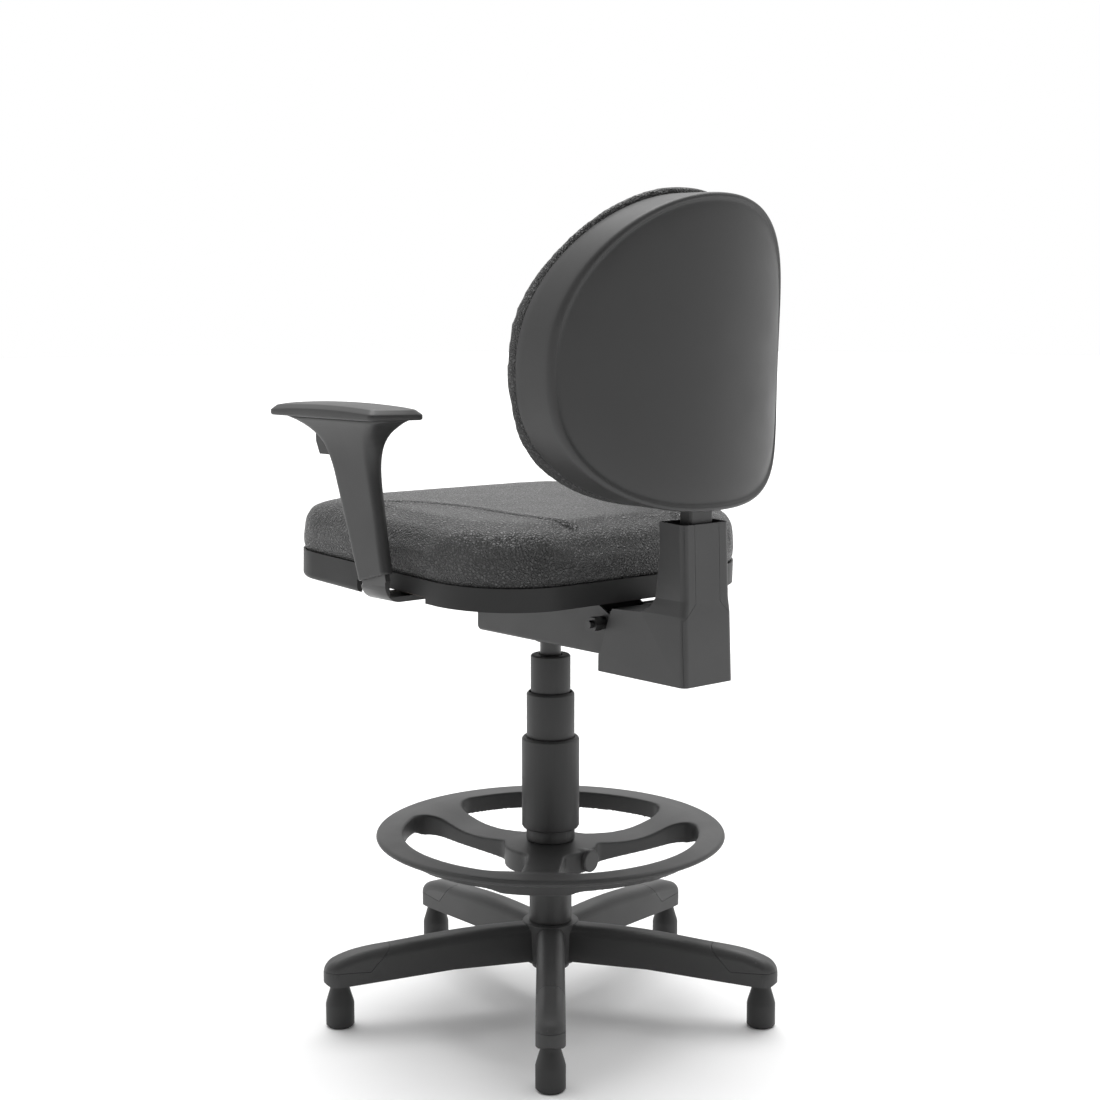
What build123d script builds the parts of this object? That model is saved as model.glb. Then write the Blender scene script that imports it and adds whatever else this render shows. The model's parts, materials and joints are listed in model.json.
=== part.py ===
from build123d import *
import math
import os

# Drafting chair: star base on fixed glides, footring, telescopic column cover,
# gas lift, tilting seat mechanism, upholstered seat and back, height-adjustable arms.
# Millimetres. Origin on the column axis at the floor, +Z up, the sitter faces -Y and
# the sitter's left side is +X.

os.makedirs("parts", exist_ok=True)

# ---------------------------------------------------------------- driving dimensions
LEG_COUNT = 5
LEG_HEADING = 49.0          # degrees, the first leg
LEG_STEP = 360.0 / LEG_COUNT
LEG_WIDTH = 36.6
LEG_TIP_R = 311.0
LEG_CREST_R = 13.0          # rounding along the top of a leg
FOOT_CIRCLE_R = 290.0
FOOT_R = 18.5
FOOT_HEIGHT = 57.0
FOOT_STEM_R = 5.0
HUB_R = 38.0
HUB_TOP = 113.5
HUB_BOTTOM = 60.0

TUBE_R = 25.0               # steel column tube
TUBE_WALL = 2.0
TUBE_BOTTOM = 50.0
TUBE_TOP = 345.0
SPACER_R = 28.5             # plastic tube round the column that the footring slides on
SPACER_TOP = 250.0
GAP = 0.4                   # between parts that slide on each other

RING_R = 234.0
RING_TOP = 239.5
RING_INNER_R = 198.0
RING_HUB_R = 46.0
RING_HUB_HOLE_R = SPACER_R + GAP
SPOKE_HEADING = 43.0
SPOKE_WIDTH = 50.0
COLLAR_R = 32.5
COLLAR_TOP = 243.0

SLEEVE_LARGE_R = 38.5
SLEEVE_LARGE_TOP = 367.0
SLEEVE_MIDDLE_R = 32.0
SLEEVE_MIDDLE_TOP = 428.0
SLEEVE_MIDDLE_BOTTOM = 305.0
SLEEVE_SMALL_R = 26.6
SLEEVE_SMALL_TOP = 478.0
SLEEVE_SMALL_BOTTOM = 362.0

PISTON_R = 14.0             # gas cylinder, 28 mm in diameter
CYLINDER_BOTTOM = 190.0
CYLINDER_TOP = 548.0
TAPER_BOTTOM = 504.0
TAPER_TOP_R = 13.2
ROD_R = 5.0
ROD_TOP = 300.0
BORE_R = 12.0
FIT = 0.05                  # radial clearance of a running fit

MECH_HALF = 36.0            # half the width of the steel seat channel
MECH_BOTTOM = 500.5
MECH_FRONT = -112.0
MECH_REAR = 160.0
STEEL = 3.0
PIVOT_Y = 142.0
PIVOT_Z = 542.0
PIVOT_R = 5.0

LEVER_Z = 558.0
LEVER_R = 3.5
LEVER_INNER = 6.0           # the rod's inner end, over the release pin
LEVER_OUTER = -196.0
TILT_Y = 62.0
TILT_Z = 541.0

SCREW_GRID = (150, 160)    # seat screws
SEAT_TILT = 2.0             # degrees, front higher
SEAT_RIM_Z = 605.0          # height of the pan's top edge above the column
PAN_DEPTH = 29.0
PAN_WALL = 3.0
PAN_SKIRT = 9.0             # how much deeper the pan is in front of the arms
PAN_SKIRT_REAR = -100.0
PAN_EDGE_R = 7.0
PAN_FLOOR = -26.0
BOARD_THICKNESS = 13.0
CUSHION_RISE = 64.0

BACK_TILT = 1.5             # degrees, top towards the rear
BACK_Z = 858.0              # height of the widest part of the back
BACK_HALF = 194.0
BACK_UP = 207.0
BACK_DOWN = 166.0
BACK_REAR_Y = 304.0
BACK_CURVE_R = 265.0        # the back wraps round the sitter on this radius
BACK_DEPTH = 60.0
BACK_BOARD_AT = 51.0
BACK_BOARD = 9.0
BACK_FRONT_R = 330.0        # the cushion's front is flatter than the shell
BACK_CUSHION = 35.0         # cushion thickness on the centre line

BAR_HALF = 19.0
BAR_FRONT_Y = 257.0
BAR_REAR_Y = 277.0
BAR_BOTTOM = 520.0
BAR_TOP = 905.0

COVER_HALF = 39.5
COVER_WALL = 2.6

ARM_X = 262.5               # centre of the arm's post
ARM_LEAN = 14.0             # degrees, top towards the front
ARM_FOOT_Y = -28.0          # post centre at the height of its foot
ARM_FOOT_Z = 602.0
BLADE = 7.0                 # thickness of the arm's steel bracket
BLADE_WIDTH = 50.0
BRACKET_Z = 572.0           # underside of the bracket's flat leg

SEAT_UP = Plane(
    origin=(0, 0, SEAT_RIM_Z),
    x_dir=(1, 0, 0),
    z_dir=(0, math.sin(math.radians(SEAT_TILT)), math.cos(math.radians(SEAT_TILT))),
)
BACK_LIFT = BACK_REAR_Y * math.tan(math.radians(BACK_TILT))   # the tilt turns the back about its rear face
BACK_UPWARD = Plane(
    origin=(0, 0, BACK_Z + BACK_LIFT),
    x_dir=(1, 0, 0),
    z_dir=(0, math.sin(math.radians(BACK_TILT)), math.cos(math.radians(BACK_TILT))),
)
BACK_FACE = Plane(
    origin=(0, 0, BACK_Z + BACK_LIFT),
    x_dir=(1, 0, 0),
    z_dir=(0, -math.cos(math.radians(BACK_TILT)), math.sin(math.radians(BACK_TILT))),
)


def leg_angle(index):
    return LEG_HEADING + index * LEG_STEP


def on_circle(radius, angle):
    turn = math.radians(angle)
    return (radius * math.cos(turn), radius * math.sin(turn), 0)


# ---------------------------------------------------------------- star base
with BuildPart() as whole_leg:
    with BuildSketch(Plane.XZ):
        with BuildLine():
            Polyline(
                (20, HUB_BOTTOM + 3), (140, 64.5), (226, 60), (285, FOOT_HEIGHT), (304, FOOT_HEIGHT),
                (LEG_TIP_R, 61),
            )
            Line((LEG_TIP_R, 61), (LEG_TIP_R, 72))
            Spline((LEG_TIP_R, 72), (306, 84), (290, 93.5), (221, 104), (150, 110), (20, 112))
            Line((20, 112), (20, HUB_BOTTOM + 3))
        make_face()
    extrude(amount=LEG_WIDTH / 2, both=True)
    with BuildSketch(Plane.XY):
        with Locations(((LEG_TIP_R - LEG_WIDTH / 2) / 2, 0)):
            Rectangle(LEG_TIP_R - LEG_WIDTH / 2, LEG_WIDTH)
        with Locations((LEG_TIP_R - LEG_WIDTH / 2, 0)):
            Circle(LEG_WIDTH / 2)
    extrude(amount=200, mode=Mode.INTERSECT)
    upper_edges = whole_leg.edges().filter_by(lambda e: e.center().Z > 80 and abs(e.center().Y) > 10)
    fillet(upper_edges, LEG_CREST_R)

CAP_LINE = ((252, 73.5), (340, 77.5), (340, 140), (214, 140), (224, 103))
CAP_SEAM = 0.5

with BuildPart() as leg_below_cap:
    add(whole_leg.part)
    with BuildSketch(Plane.XZ):
        with BuildLine():
            Polyline(*CAP_LINE, close=True)
        make_face()
    extrude(amount=LEG_WIDTH, both=True, mode=Mode.SUBTRACT)
    with Locations((FOOT_CIRCLE_R, 0, FOOT_HEIGHT)):
        Cylinder(FOOT_STEM_R, 26, mode=Mode.SUBTRACT)

with BuildPart() as cap_of_leg:
    add(whole_leg.part)
    with BuildSketch(Plane.XZ):
        with BuildLine():
            Polyline(*CAP_LINE, close=True)
        make_face()
        offset(amount=-CAP_SEAM, kind=Kind.INTERSECTION)
    extrude(amount=LEG_WIDTH, both=True, mode=Mode.INTERSECT)

with BuildPart() as star_base:
    with PolarLocations(0, LEG_COUNT, start_angle=LEG_HEADING):
        add(leg_below_cap.part)
    with BuildSketch(Plane.XY.offset(HUB_BOTTOM)):
        Circle(HUB_R - 2)
    extrude(amount=HUB_TOP - HUB_BOTTOM, taper=-2)
    fillet(star_base.faces().sort_by(Axis.Z)[-1].edges(), 1.5)
    with BuildSketch(Plane.XY.offset(HUB_BOTTOM - 1)):
        Circle(TUBE_R)
    extrude(amount=HUB_TOP, mode=Mode.SUBTRACT)
star_base.part.label = "star_base"
export_step(star_base.part, "parts/star_base.step")

for index in range(LEG_COUNT):
    with BuildPart() as leg_cap:
        with PolarLocations(0, 1, start_angle=leg_angle(index)):
            add(cap_of_leg.part)
    leg_cap.part.label = f"leg_cap_{index + 1}"
    export_step(leg_cap.part, f"parts/leg_cap_{index + 1}.step")

with BuildPart() as foot_shape:
    with BuildSketch(Plane.XZ):
        with BuildLine():
            Polyline(
                (0, 0), (FOOT_R - 3, 0), (FOOT_R, 3), (FOOT_R, 31), (FOOT_R - 1, 35), (12.2, 53),
                (12.2, FOOT_HEIGHT), (FOOT_STEM_R, FOOT_HEIGHT), (FOOT_STEM_R, FOOT_HEIGHT + 12),
                (0, FOOT_HEIGHT + 12), close=True,
            )
        make_face()
    revolve(axis=Axis.Z)

for index in range(LEG_COUNT):
    with BuildPart() as glide_foot:
        with Locations(on_circle(FOOT_CIRCLE_R, leg_angle(index))):
            add(foot_shape.part)
    glide_foot.part.label = f"glide_foot_{index + 1}"
    export_step(glide_foot.part, f"parts/glide_foot_{index + 1}.step")


# ---------------------------------------------------------------- column
with BuildPart() as column_tube:
    with BuildSketch(Plane.XY.offset(TUBE_BOTTOM)):
        Circle(TUBE_R)
        Circle(TUBE_R - TUBE_WALL, mode=Mode.SUBTRACT)
    extrude(amount=TUBE_TOP - TUBE_BOTTOM)
    with BuildSketch(Plane.XY.offset(TUBE_BOTTOM)):
        Circle(TUBE_R)
        Circle(ROD_R, mode=Mode.SUBTRACT)
    extrude(amount=4)
column_tube.part.label = "column_tube"
export_step(column_tube.part, "parts/column_tube.step")

with BuildPart() as column_spacer:
    with BuildSketch(Plane.XY.offset(HUB_TOP)):
        Circle(SPACER_R)
        Circle(TUBE_R, mode=Mode.SUBTRACT)
    extrude(amount=SPACER_TOP - HUB_TOP)
column_spacer.part.label = "column_spacer"
export_step(column_spacer.part, "parts/column_spacer.step")

BUSH_BOTTOM = TUBE_TOP - 60
with BuildPart() as guide_bush:
    with BuildSketch(Plane.XZ):
        Polygon(
            (PISTON_R + FIT, BUSH_BOTTOM), (TUBE_R - TUBE_WALL, BUSH_BOTTOM), (TUBE_R - TUBE_WALL, TUBE_TOP),
            (TUBE_R, TUBE_TOP), (TUBE_R, TUBE_TOP + 2), (PISTON_R + FIT, TUBE_TOP + 2),
            align=None,
        )
    revolve(axis=Axis.Z)
guide_bush.part.label = "guide_bush"
export_step(guide_bush.part, "parts/guide_bush.step")

BEARING_BOTTOM = TUBE_BOTTOM + 4
with BuildPart() as thrust_bearing:
    with BuildSketch(Plane.XY.offset(BEARING_BOTTOM)):
        Circle(13)
        Circle(ROD_R + 0.5, mode=Mode.SUBTRACT)
    extrude(amount=5)
thrust_bearing.part.label = "thrust_bearing"
export_step(thrust_bearing.part, "parts/thrust_bearing.step")

with BuildPart() as gas_rod:
    with BuildSketch(Plane.XZ):
        Polygon(
            (0, TUBE_BOTTOM - 6), (ROD_R, TUBE_BOTTOM - 6), (ROD_R, ROD_TOP - 14),
            (BORE_R - FIT, ROD_TOP - 14), (BORE_R - FIT, ROD_TOP), (0, ROD_TOP),
            align=None,
        )
    revolve(axis=Axis.Z)
gas_rod.part.label = "gas_rod"
export_step(gas_rod.part, "parts/gas_rod.step")

with BuildPart() as retaining_clip:
    with BuildSketch(Plane.XY.offset(TUBE_BOTTOM - 2)):
        Circle(9)
        Circle(ROD_R, mode=Mode.SUBTRACT)
        with Locations((6, 0)):
            Rectangle(12, 3, mode=Mode.SUBTRACT)
    extrude(amount=1.5)
retaining_clip.part.label = "retaining_clip"
export_step(retaining_clip.part, "parts/retaining_clip.step")

with BuildPart() as gas_cylinder:
    with BuildSketch(Plane.XZ):
        Polygon(
            (ROD_R + FIT, CYLINDER_BOTTOM), (PISTON_R, CYLINDER_BOTTOM), (PISTON_R, TAPER_BOTTOM),
            (TAPER_TOP_R, CYLINDER_TOP), (4, CYLINDER_TOP), (4, CYLINDER_TOP - 22),
            (BORE_R, CYLINDER_TOP - 22), (BORE_R, CYLINDER_BOTTOM + 10),
            (ROD_R + FIT, CYLINDER_BOTTOM + 10),
            align=None,
        )
    revolve(axis=Axis.Z)
gas_cylinder.part.label = "gas_cylinder"
export_step(gas_cylinder.part, "parts/gas_cylinder.step")

with BuildPart() as release_pin:
    with BuildSketch(Plane.XY.offset(CYLINDER_TOP - 18)):
        Circle(4 - FIT)
    extrude(amount=23)
    fillet(release_pin.faces().sort_by(Axis.Z)[-1].edges(), 0.8)
release_pin.part.label = "release_pin"
export_step(release_pin.part, "parts/release_pin.step")


# ---------------------------------------------------------------- telescopic cover
def sleeve_profile(outer, bore, bottom, top):
    """Half section of one sleeve: a thin wall with a softened foot and a rounded mouth."""
    return (
        (bore, bottom), (outer - 2, bottom), (outer, bottom + 3), (outer, top - 3), (outer - 2.5, top),
        (bore, top),
    )


with BuildPart() as sleeve_large:
    with BuildSketch(Plane.XZ):
        Polygon(
            *sleeve_profile(SLEEVE_LARGE_R, SLEEVE_MIDDLE_R + GAP, COLLAR_TOP, SLEEVE_LARGE_TOP),
            align=None,
        )
    revolve(axis=Axis.Z)
sleeve_large.part.label = "sleeve_large"
export_step(sleeve_large.part, "parts/sleeve_large.step")

with BuildPart() as sleeve_middle:
    with BuildSketch(Plane.XZ):
        Polygon(
            *sleeve_profile(SLEEVE_MIDDLE_R, SPACER_R + GAP, SLEEVE_MIDDLE_BOTTOM, SLEEVE_MIDDLE_TOP),
            align=None,
        )
    revolve(axis=Axis.Z)
sleeve_middle.part.label = "sleeve_middle"
export_step(sleeve_middle.part, "parts/sleeve_middle.step")

with BuildPart() as sleeve_small:
    with BuildSketch(Plane.XZ):
        Polygon(
            (TUBE_R + GAP, SLEEVE_SMALL_BOTTOM), (SLEEVE_SMALL_R, SLEEVE_SMALL_BOTTOM),
            (SLEEVE_SMALL_R, SLEEVE_SMALL_TOP - 2), (SLEEVE_SMALL_R - 2, SLEEVE_SMALL_TOP),
            (PISTON_R + 2, SLEEVE_SMALL_TOP), (PISTON_R + 2, SLEEVE_SMALL_TOP - 2),
            (TUBE_R + GAP, SLEEVE_SMALL_TOP - 2),
            align=None,
        )
    revolve(axis=Axis.Z)
sleeve_small.part.label = "sleeve_small"
export_step(sleeve_small.part, "parts/sleeve_small.step")

# ---------------------------------------------------------------- footring
KNOB_HEADING = 99.0         # degrees
KNOB_Z = 208.0
KNOB_SHANK_R = 4.0
KNOB_FACE = Plane(
    origin=Vector(*on_circle(RING_HUB_R, KNOB_HEADING)) + Vector(0, 0, KNOB_Z),
    x_dir=on_circle(1, KNOB_HEADING + 90),
    z_dir=on_circle(1, KNOB_HEADING),
)
with BuildPart() as footring:
    with BuildSketch(Plane.XZ):
        with BuildLine():
            Spline((RING_HUB_HOLE_R, 226), (80, 218), (140, 221), (RING_INNER_R - 12, 236), (206, RING_TOP))
            Polyline(
                (206, RING_TOP), (RING_R - 3, RING_TOP), (RING_R, RING_TOP - 3), (RING_R, 233), (224, 229),
                (210, 226), (193, 208), (180, 206),
            )
            Spline((180, 206), (150, 201), (100, 196), (RING_HUB_R + 8, 190))
            Polyline((RING_HUB_R + 8, 190), (RING_HUB_HOLE_R, 190), (RING_HUB_HOLE_R, 226))
        make_face()
    revolve(axis=Axis.Z)
    with BuildSketch(Plane.XY) as openings:
        Circle(RING_INNER_R)
        Circle(62, mode=Mode.SUBTRACT)
        with PolarLocations(0, 3, start_angle=SPOKE_HEADING):
            with Locations((130, 0)):
                Rectangle(180, SPOKE_WIDTH, mode=Mode.SUBTRACT)
        fillet(openings.vertices().filter_by(lambda v: v.center().length > 120), 30)
        fillet(openings.vertices().filter_by(lambda v: v.center().length < 70), 14)
    extrude(amount=400, mode=Mode.SUBTRACT)
    with BuildSketch(KNOB_FACE.offset(-8)):
        Circle(14)
    extrude(amount=26)
    with BuildSketch(KNOB_FACE.offset(-20)):
        Circle(KNOB_SHANK_R + FIT)
    extrude(amount=60, mode=Mode.SUBTRACT)
    with BuildSketch(Plane.XY.offset(180)):
        Circle(RING_HUB_HOLE_R)
    extrude(amount=60, mode=Mode.SUBTRACT)
footring.part.label = "footring"
export_step(footring.part, "parts/footring.step")

with BuildPart() as ring_collar:
    with BuildSketch(Plane.XY.offset(227)):
        Circle(COLLAR_R)
        Circle(RING_HUB_HOLE_R, mode=Mode.SUBTRACT)
    extrude(amount=COLLAR_TOP - 227)
ring_collar.part.label = "ring_collar"
export_step(ring_collar.part, "parts/ring_collar.step")

with BuildPart() as ring_knob:
    with BuildSketch(KNOB_FACE.offset(-16)):
        Circle(KNOB_SHANK_R)
    extrude(amount=36)
    with BuildSketch(KNOB_FACE.offset(18.5)):
        Circle(15)
    extrude(amount=7)
    fillet(ring_knob.edges().filter_by(GeomType.CIRCLE).filter_by(lambda e: e.radius > 12), 2)
ring_knob.part.label = "ring_knob"
export_step(ring_knob.part, "parts/ring_knob.step")

# ---------------------------------------------------------------- seat mechanism
with BuildPart() as seat_channel:
    with BuildSketch(Plane.YZ) as channel_side:
        Polygon(
            (MECH_FRONT, 566), (MECH_FRONT, MECH_BOTTOM), (MECH_REAR, MECH_BOTTOM), (MECH_REAR, 550),
            (100, 580), (MECH_FRONT, 584),
            align=None,
        )
        fillet(channel_side.vertices().group_by(Axis.Y)[0], 7)
    extrude(amount=MECH_HALF, both=True)
    fillet(seat_channel.edges().filter_by(Axis.Y).group_by(Axis.Z)[0], 4)
    with BuildSketch(Plane.YZ):
        with Locations(((MECH_FRONT + MECH_REAR) / 2, MECH_BOTTOM + STEEL + 50)):
            Rectangle(MECH_REAR - MECH_FRONT + 20, 100)
    extrude(amount=MECH_HALF - STEEL, both=True, mode=Mode.SUBTRACT)
    with Locations((0, 0, MECH_BOTTOM)):
        Cylinder(20, 20, mode=Mode.SUBTRACT)
    with Locations(Location((0, PIVOT_Y, PIVOT_Z), (0, 90, 0))):
        Cylinder(PIVOT_R, 100, mode=Mode.SUBTRACT)
    with BuildSketch(Plane.YZ.offset(-MECH_HALF - 1)):
        with Locations((0, LEVER_Z)):
            Circle(LEVER_R + 0.6)
        with Locations((TILT_Y, TILT_Z)):
            Circle(LEVER_R + FIT)
    extrude(amount=MECH_HALF, mode=Mode.SUBTRACT)
    with BuildSketch(SEAT_UP.offset(-PAN_DEPTH - 0.2)):
        Rectangle(500, 700)
    extrude(amount=60, mode=Mode.SUBTRACT)
seat_channel.part.label = "seat_channel"
export_step(seat_channel.part, "parts/seat_channel.step")

PLATE_AT = PAN_FLOOR - 3.0
with BuildPart() as seat_plate:
    with BuildSketch(SEAT_UP.offset(PLATE_AT)):
        RectangleRounded(176, 200, 12)
        with GridLocations(*SCREW_GRID, 2, 2):
            Circle(3.4, mode=Mode.SUBTRACT)
    extrude(amount=STEEL)
seat_plate.part.label = "seat_plate"
export_step(seat_plate.part, "parts/seat_plate.step")

with BuildPart() as taper_socket:
    with BuildSketch(Plane.XZ):
        Polygon(
            (PISTON_R + FIT, 496), (20, 496), (20, 546), (TAPER_TOP_R + FIT, 546),
            (TAPER_TOP_R + FIT, CYLINDER_TOP), (PISTON_R + FIT, TAPER_BOTTOM),
            align=None,
        )
    revolve(axis=Axis.Z)
taper_socket.part.label = "taper_socket"
export_step(taper_socket.part, "parts/taper_socket.step")

BOLT_END = 62.0
with BuildPart() as pivot_bolt:
    with BuildSketch(Plane.YZ.offset(-MECH_HALF - 5)):
        with Locations((PIVOT_Y, PIVOT_Z)):
            RegularPolygon(9, 6)
    extrude(amount=5)
    with BuildSketch(Plane.YZ.offset(-MECH_HALF)):
        with Locations((PIVOT_Y, PIVOT_Z)):
            Circle(PIVOT_R - FIT)
    extrude(amount=MECH_HALF + BOLT_END)
pivot_bolt.part.label = "pivot_bolt"
export_step(pivot_bolt.part, "parts/pivot_bolt.step")

with BuildPart() as pivot_nut:
    with BuildSketch(Plane.YZ.offset(MECH_HALF)):
        with Locations((PIVOT_Y, PIVOT_Z)):
            Circle(8.5)
            Circle(PIVOT_R, mode=Mode.SUBTRACT)
    extrude(amount=8)
    with BuildSketch(Plane.YZ.offset(MECH_HALF + 8)):
        with Locations((PIVOT_Y, PIVOT_Z)):
            RegularPolygon(9.5, 6)
            Circle(PIVOT_R, mode=Mode.SUBTRACT)
    extrude(amount=11)
pivot_nut.part.label = "pivot_nut"
export_step(pivot_nut.part, "parts/pivot_nut.step")


with BuildPart() as height_lever:
    with BuildSketch(Plane.YZ.offset(LEVER_OUTER + 20)):
        with Locations((0, LEVER_Z)):
            Circle(LEVER_R)
    extrude(amount=LEVER_INNER - LEVER_OUTER - 20)
height_lever.part.label = "height_lever"
export_step(height_lever.part, "parts/height_lever.step")

with BuildPart() as height_paddle:
    with BuildSketch(Plane.XY.offset(LEVER_Z - 5)):
        with Locations((LEVER_OUTER + 8, 0)):
            RectangleRounded(58, 30, 10)
    extrude(amount=10)
    fillet(height_paddle.edges(), 2)
    with BuildSketch(Plane.YZ.offset(LEVER_OUTER + 20)):
        with Locations((0, LEVER_Z)):
            Circle(LEVER_R)
    extrude(amount=60, mode=Mode.SUBTRACT)
height_paddle.part.label = "height_paddle"
export_step(height_paddle.part, "parts/height_paddle.step")

with BuildPart() as tilt_lever:
    with BuildSketch(Plane.YZ.offset(LEVER_OUTER + 30)):
        with Locations((TILT_Y, TILT_Z)):
            Circle(LEVER_R)
    extrude(amount=-LEVER_OUTER - 30 - MECH_HALF + 16)
tilt_lever.part.label = "tilt_lever"
export_step(tilt_lever.part, "parts/tilt_lever.step")

with BuildPart() as tilt_paddle:
    with BuildSketch(Plane.XY.offset(TILT_Z - 5)):
        with Locations((LEVER_OUTER + 18, TILT_Y - 8)):
            RectangleRounded(50, 36, 10)
    extrude(amount=10)
    fillet(tilt_paddle.edges(), 2)
    with BuildSketch(Plane.YZ.offset(LEVER_OUTER + 30)):
        with Locations((TILT_Y, TILT_Z)):
            Circle(LEVER_R)
    extrude(amount=60, mode=Mode.SUBTRACT)
tilt_paddle.part.label = "tilt_paddle"
export_step(tilt_paddle.part, "parts/tilt_paddle.step")

# ---------------------------------------------------------------- seat
SEAT_REAR = (241, 168)      # corners of the outline before they are rounded
SEAT_FRONT = (228, -289)
SEAT_REAR_R = 110.0
SEAT_FRONT_R = 72.0
ARM_BOLTS = (120, 175)      # distance of the arm bolts from the centre plane
ARM_BOLT_Y = -31.0
arm_bolt_spots = [(side * x, ARM_BOLT_Y) for side in (1, -1) for x in ARM_BOLTS]

with BuildSketch() as seat_outline:
    Polygon(
        SEAT_REAR, SEAT_FRONT, (-SEAT_FRONT[0], SEAT_FRONT[1]), (-SEAT_REAR[0], SEAT_REAR[1]),
        align=None,
    )
    fillet(seat_outline.vertices().group_by(Axis.Y)[-1], SEAT_REAR_R)
    fillet(seat_outline.vertices().group_by(Axis.Y)[0], SEAT_FRONT_R)

with BuildPart() as seat_pan:
    with BuildSketch(SEAT_UP.offset(-PAN_DEPTH)):
        add(seat_outline.sketch)
    extrude(amount=PAN_DEPTH)
    with BuildSketch(SEAT_UP.offset(-PAN_DEPTH - PAN_SKIRT)):
        add(seat_outline.sketch)
        with Locations((0, PAN_SKIRT_REAR - 150)):
            Rectangle(600, 300, mode=Mode.INTERSECT)
    extrude(amount=PAN_DEPTH)
    fillet(seat_pan.faces().sort_by(Axis.Z)[0].edges(), PAN_EDGE_R)
    with BuildSketch(SEAT_UP.offset(PAN_FLOOR + PAN_WALL)):
        add(seat_outline.sketch)
        offset(amount=-PAN_WALL)
    extrude(amount=PAN_DEPTH, mode=Mode.SUBTRACT)
    with BuildSketch(SEAT_UP.offset(-PAN_DEPTH - PAN_SKIRT - 1)):
        add(seat_outline.sketch)
        offset(amount=-PAN_WALL - 5)
    extrude(amount=PAN_FLOOR + PAN_DEPTH + PAN_SKIRT + 1, mode=Mode.SUBTRACT)
    with BuildSketch(SEAT_UP.offset(-PAN_DEPTH - PAN_SKIRT - 1)):
        with Locations((235, -34), (-235, -34)):
            Rectangle(60, 150)
    extrude(amount=PAN_SKIRT + 9, mode=Mode.SUBTRACT)
    with BuildSketch(SEAT_UP.offset(PAN_FLOOR - 1)):
        with GridLocations(*SCREW_GRID, 2, 2):
            Circle(3.4)
        with Locations(arm_bolt_spots):
            Circle(5)
    extrude(amount=8, mode=Mode.SUBTRACT)
seat_pan.part.label = "seat_pan"
export_step(seat_pan.part, "parts/seat_pan.step")

BOARD_AT = PAN_FLOOR + PAN_WALL
with BuildPart() as seat_board:
    with BuildSketch(SEAT_UP.offset(BOARD_AT)):
        add(seat_outline.sketch)
        offset(amount=-PAN_WALL - 1.5)
        with GridLocations(*SCREW_GRID, 2, 2):
            Circle(3.0, mode=Mode.SUBTRACT)
        with Locations(arm_bolt_spots):
            Circle(5, mode=Mode.SUBTRACT)
    extrude(amount=BOARD_THICKNESS)
seat_board.part.label = "seat_board"
export_step(seat_board.part, "parts/seat_board.step")

CUSHION_AT = BOARD_AT + BOARD_THICKNESS
with BuildPart() as seat_cushion:
    with BuildSketch(SEAT_UP.offset(CUSHION_AT)):
        add(seat_outline.sketch)
        offset(amount=-PAN_WALL - 2)
    extrude(amount=1 - CUSHION_AT)
    with BuildSketch(SEAT_UP.offset(0.6)):
        add(seat_outline.sketch)
        offset(amount=-1)
    extrude(amount=CUSHION_RISE)
    fillet(seat_cushion.faces().sort_by(Axis.Z)[-1].edges(), 24)
seat_cushion.part.label = "seat_cushion"
export_step(seat_cushion.part, "parts/seat_cushion.step")

with BuildPart() as seat_screws:
    with BuildSketch(SEAT_UP.offset(PLATE_AT - 4)):
        with GridLocations(*SCREW_GRID, 2, 2):
            Circle(6)
    extrude(amount=4)
    with BuildSketch(SEAT_UP.offset(PLATE_AT)):
        with GridLocations(*SCREW_GRID, 2, 2):
            Circle(3.0)
    extrude(amount=BOARD_AT - PLATE_AT + 11)
seat_screws.part.label = "seat_screws"
export_step(seat_screws.part, "parts/seat_screws.step")

# ---------------------------------------------------------------- back support
GUIDE_WALL = 3.2
GUIDE_FRONT = BAR_FRONT_Y - GAP - GUIDE_WALL
GUIDE_REAR = BAR_REAR_Y + GAP + GUIDE_WALL
GUIDE_BOTTOM = 505.0
GUIDE_TOP = 668.0
CHEEK_OUT = MECH_HALF - STEEL - 0.6
CHEEK = 4.0

with BuildPart() as support_arm:
    with BuildSketch(Plane.YZ):
        with Locations((PIVOT_Y, PIVOT_Z)):
            Circle(15)
        with Locations((GUIDE_FRONT - 8, 530)):
            Rectangle(16, 46)
        make_hull()
        with Locations((PIVOT_Y, PIVOT_Z)):
            Circle(PIVOT_R + FIT, mode=Mode.SUBTRACT)
    extrude(amount=CHEEK_OUT, both=True)
    with Locations((0, (GUIDE_FRONT - 18 + PIVOT_Y - 30) / 2, 530)):
        Box(2 * (CHEEK_OUT - CHEEK), GUIDE_FRONT - 18 - PIVOT_Y + 30, 120, mode=Mode.SUBTRACT)
support_arm.part.label = "support_arm"
export_step(support_arm.part, "parts/support_arm.step")

with BuildPart() as upright_guide:
    with BuildSketch(Plane.XY.offset(GUIDE_BOTTOM)):
        with Locations((0, (GUIDE_FRONT + GUIDE_REAR) / 2)):
            Rectangle(2 * (BAR_HALF + GAP + GUIDE_WALL), GUIDE_REAR - GUIDE_FRONT)
            Rectangle(2 * (BAR_HALF + GAP), GUIDE_REAR - GUIDE_FRONT - 2 * GUIDE_WALL, mode=Mode.SUBTRACT)
    extrude(amount=GUIDE_TOP - GUIDE_BOTTOM)
upright_guide.part.label = "upright_guide"
export_step(upright_guide.part, "parts/upright_guide.step")

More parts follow.
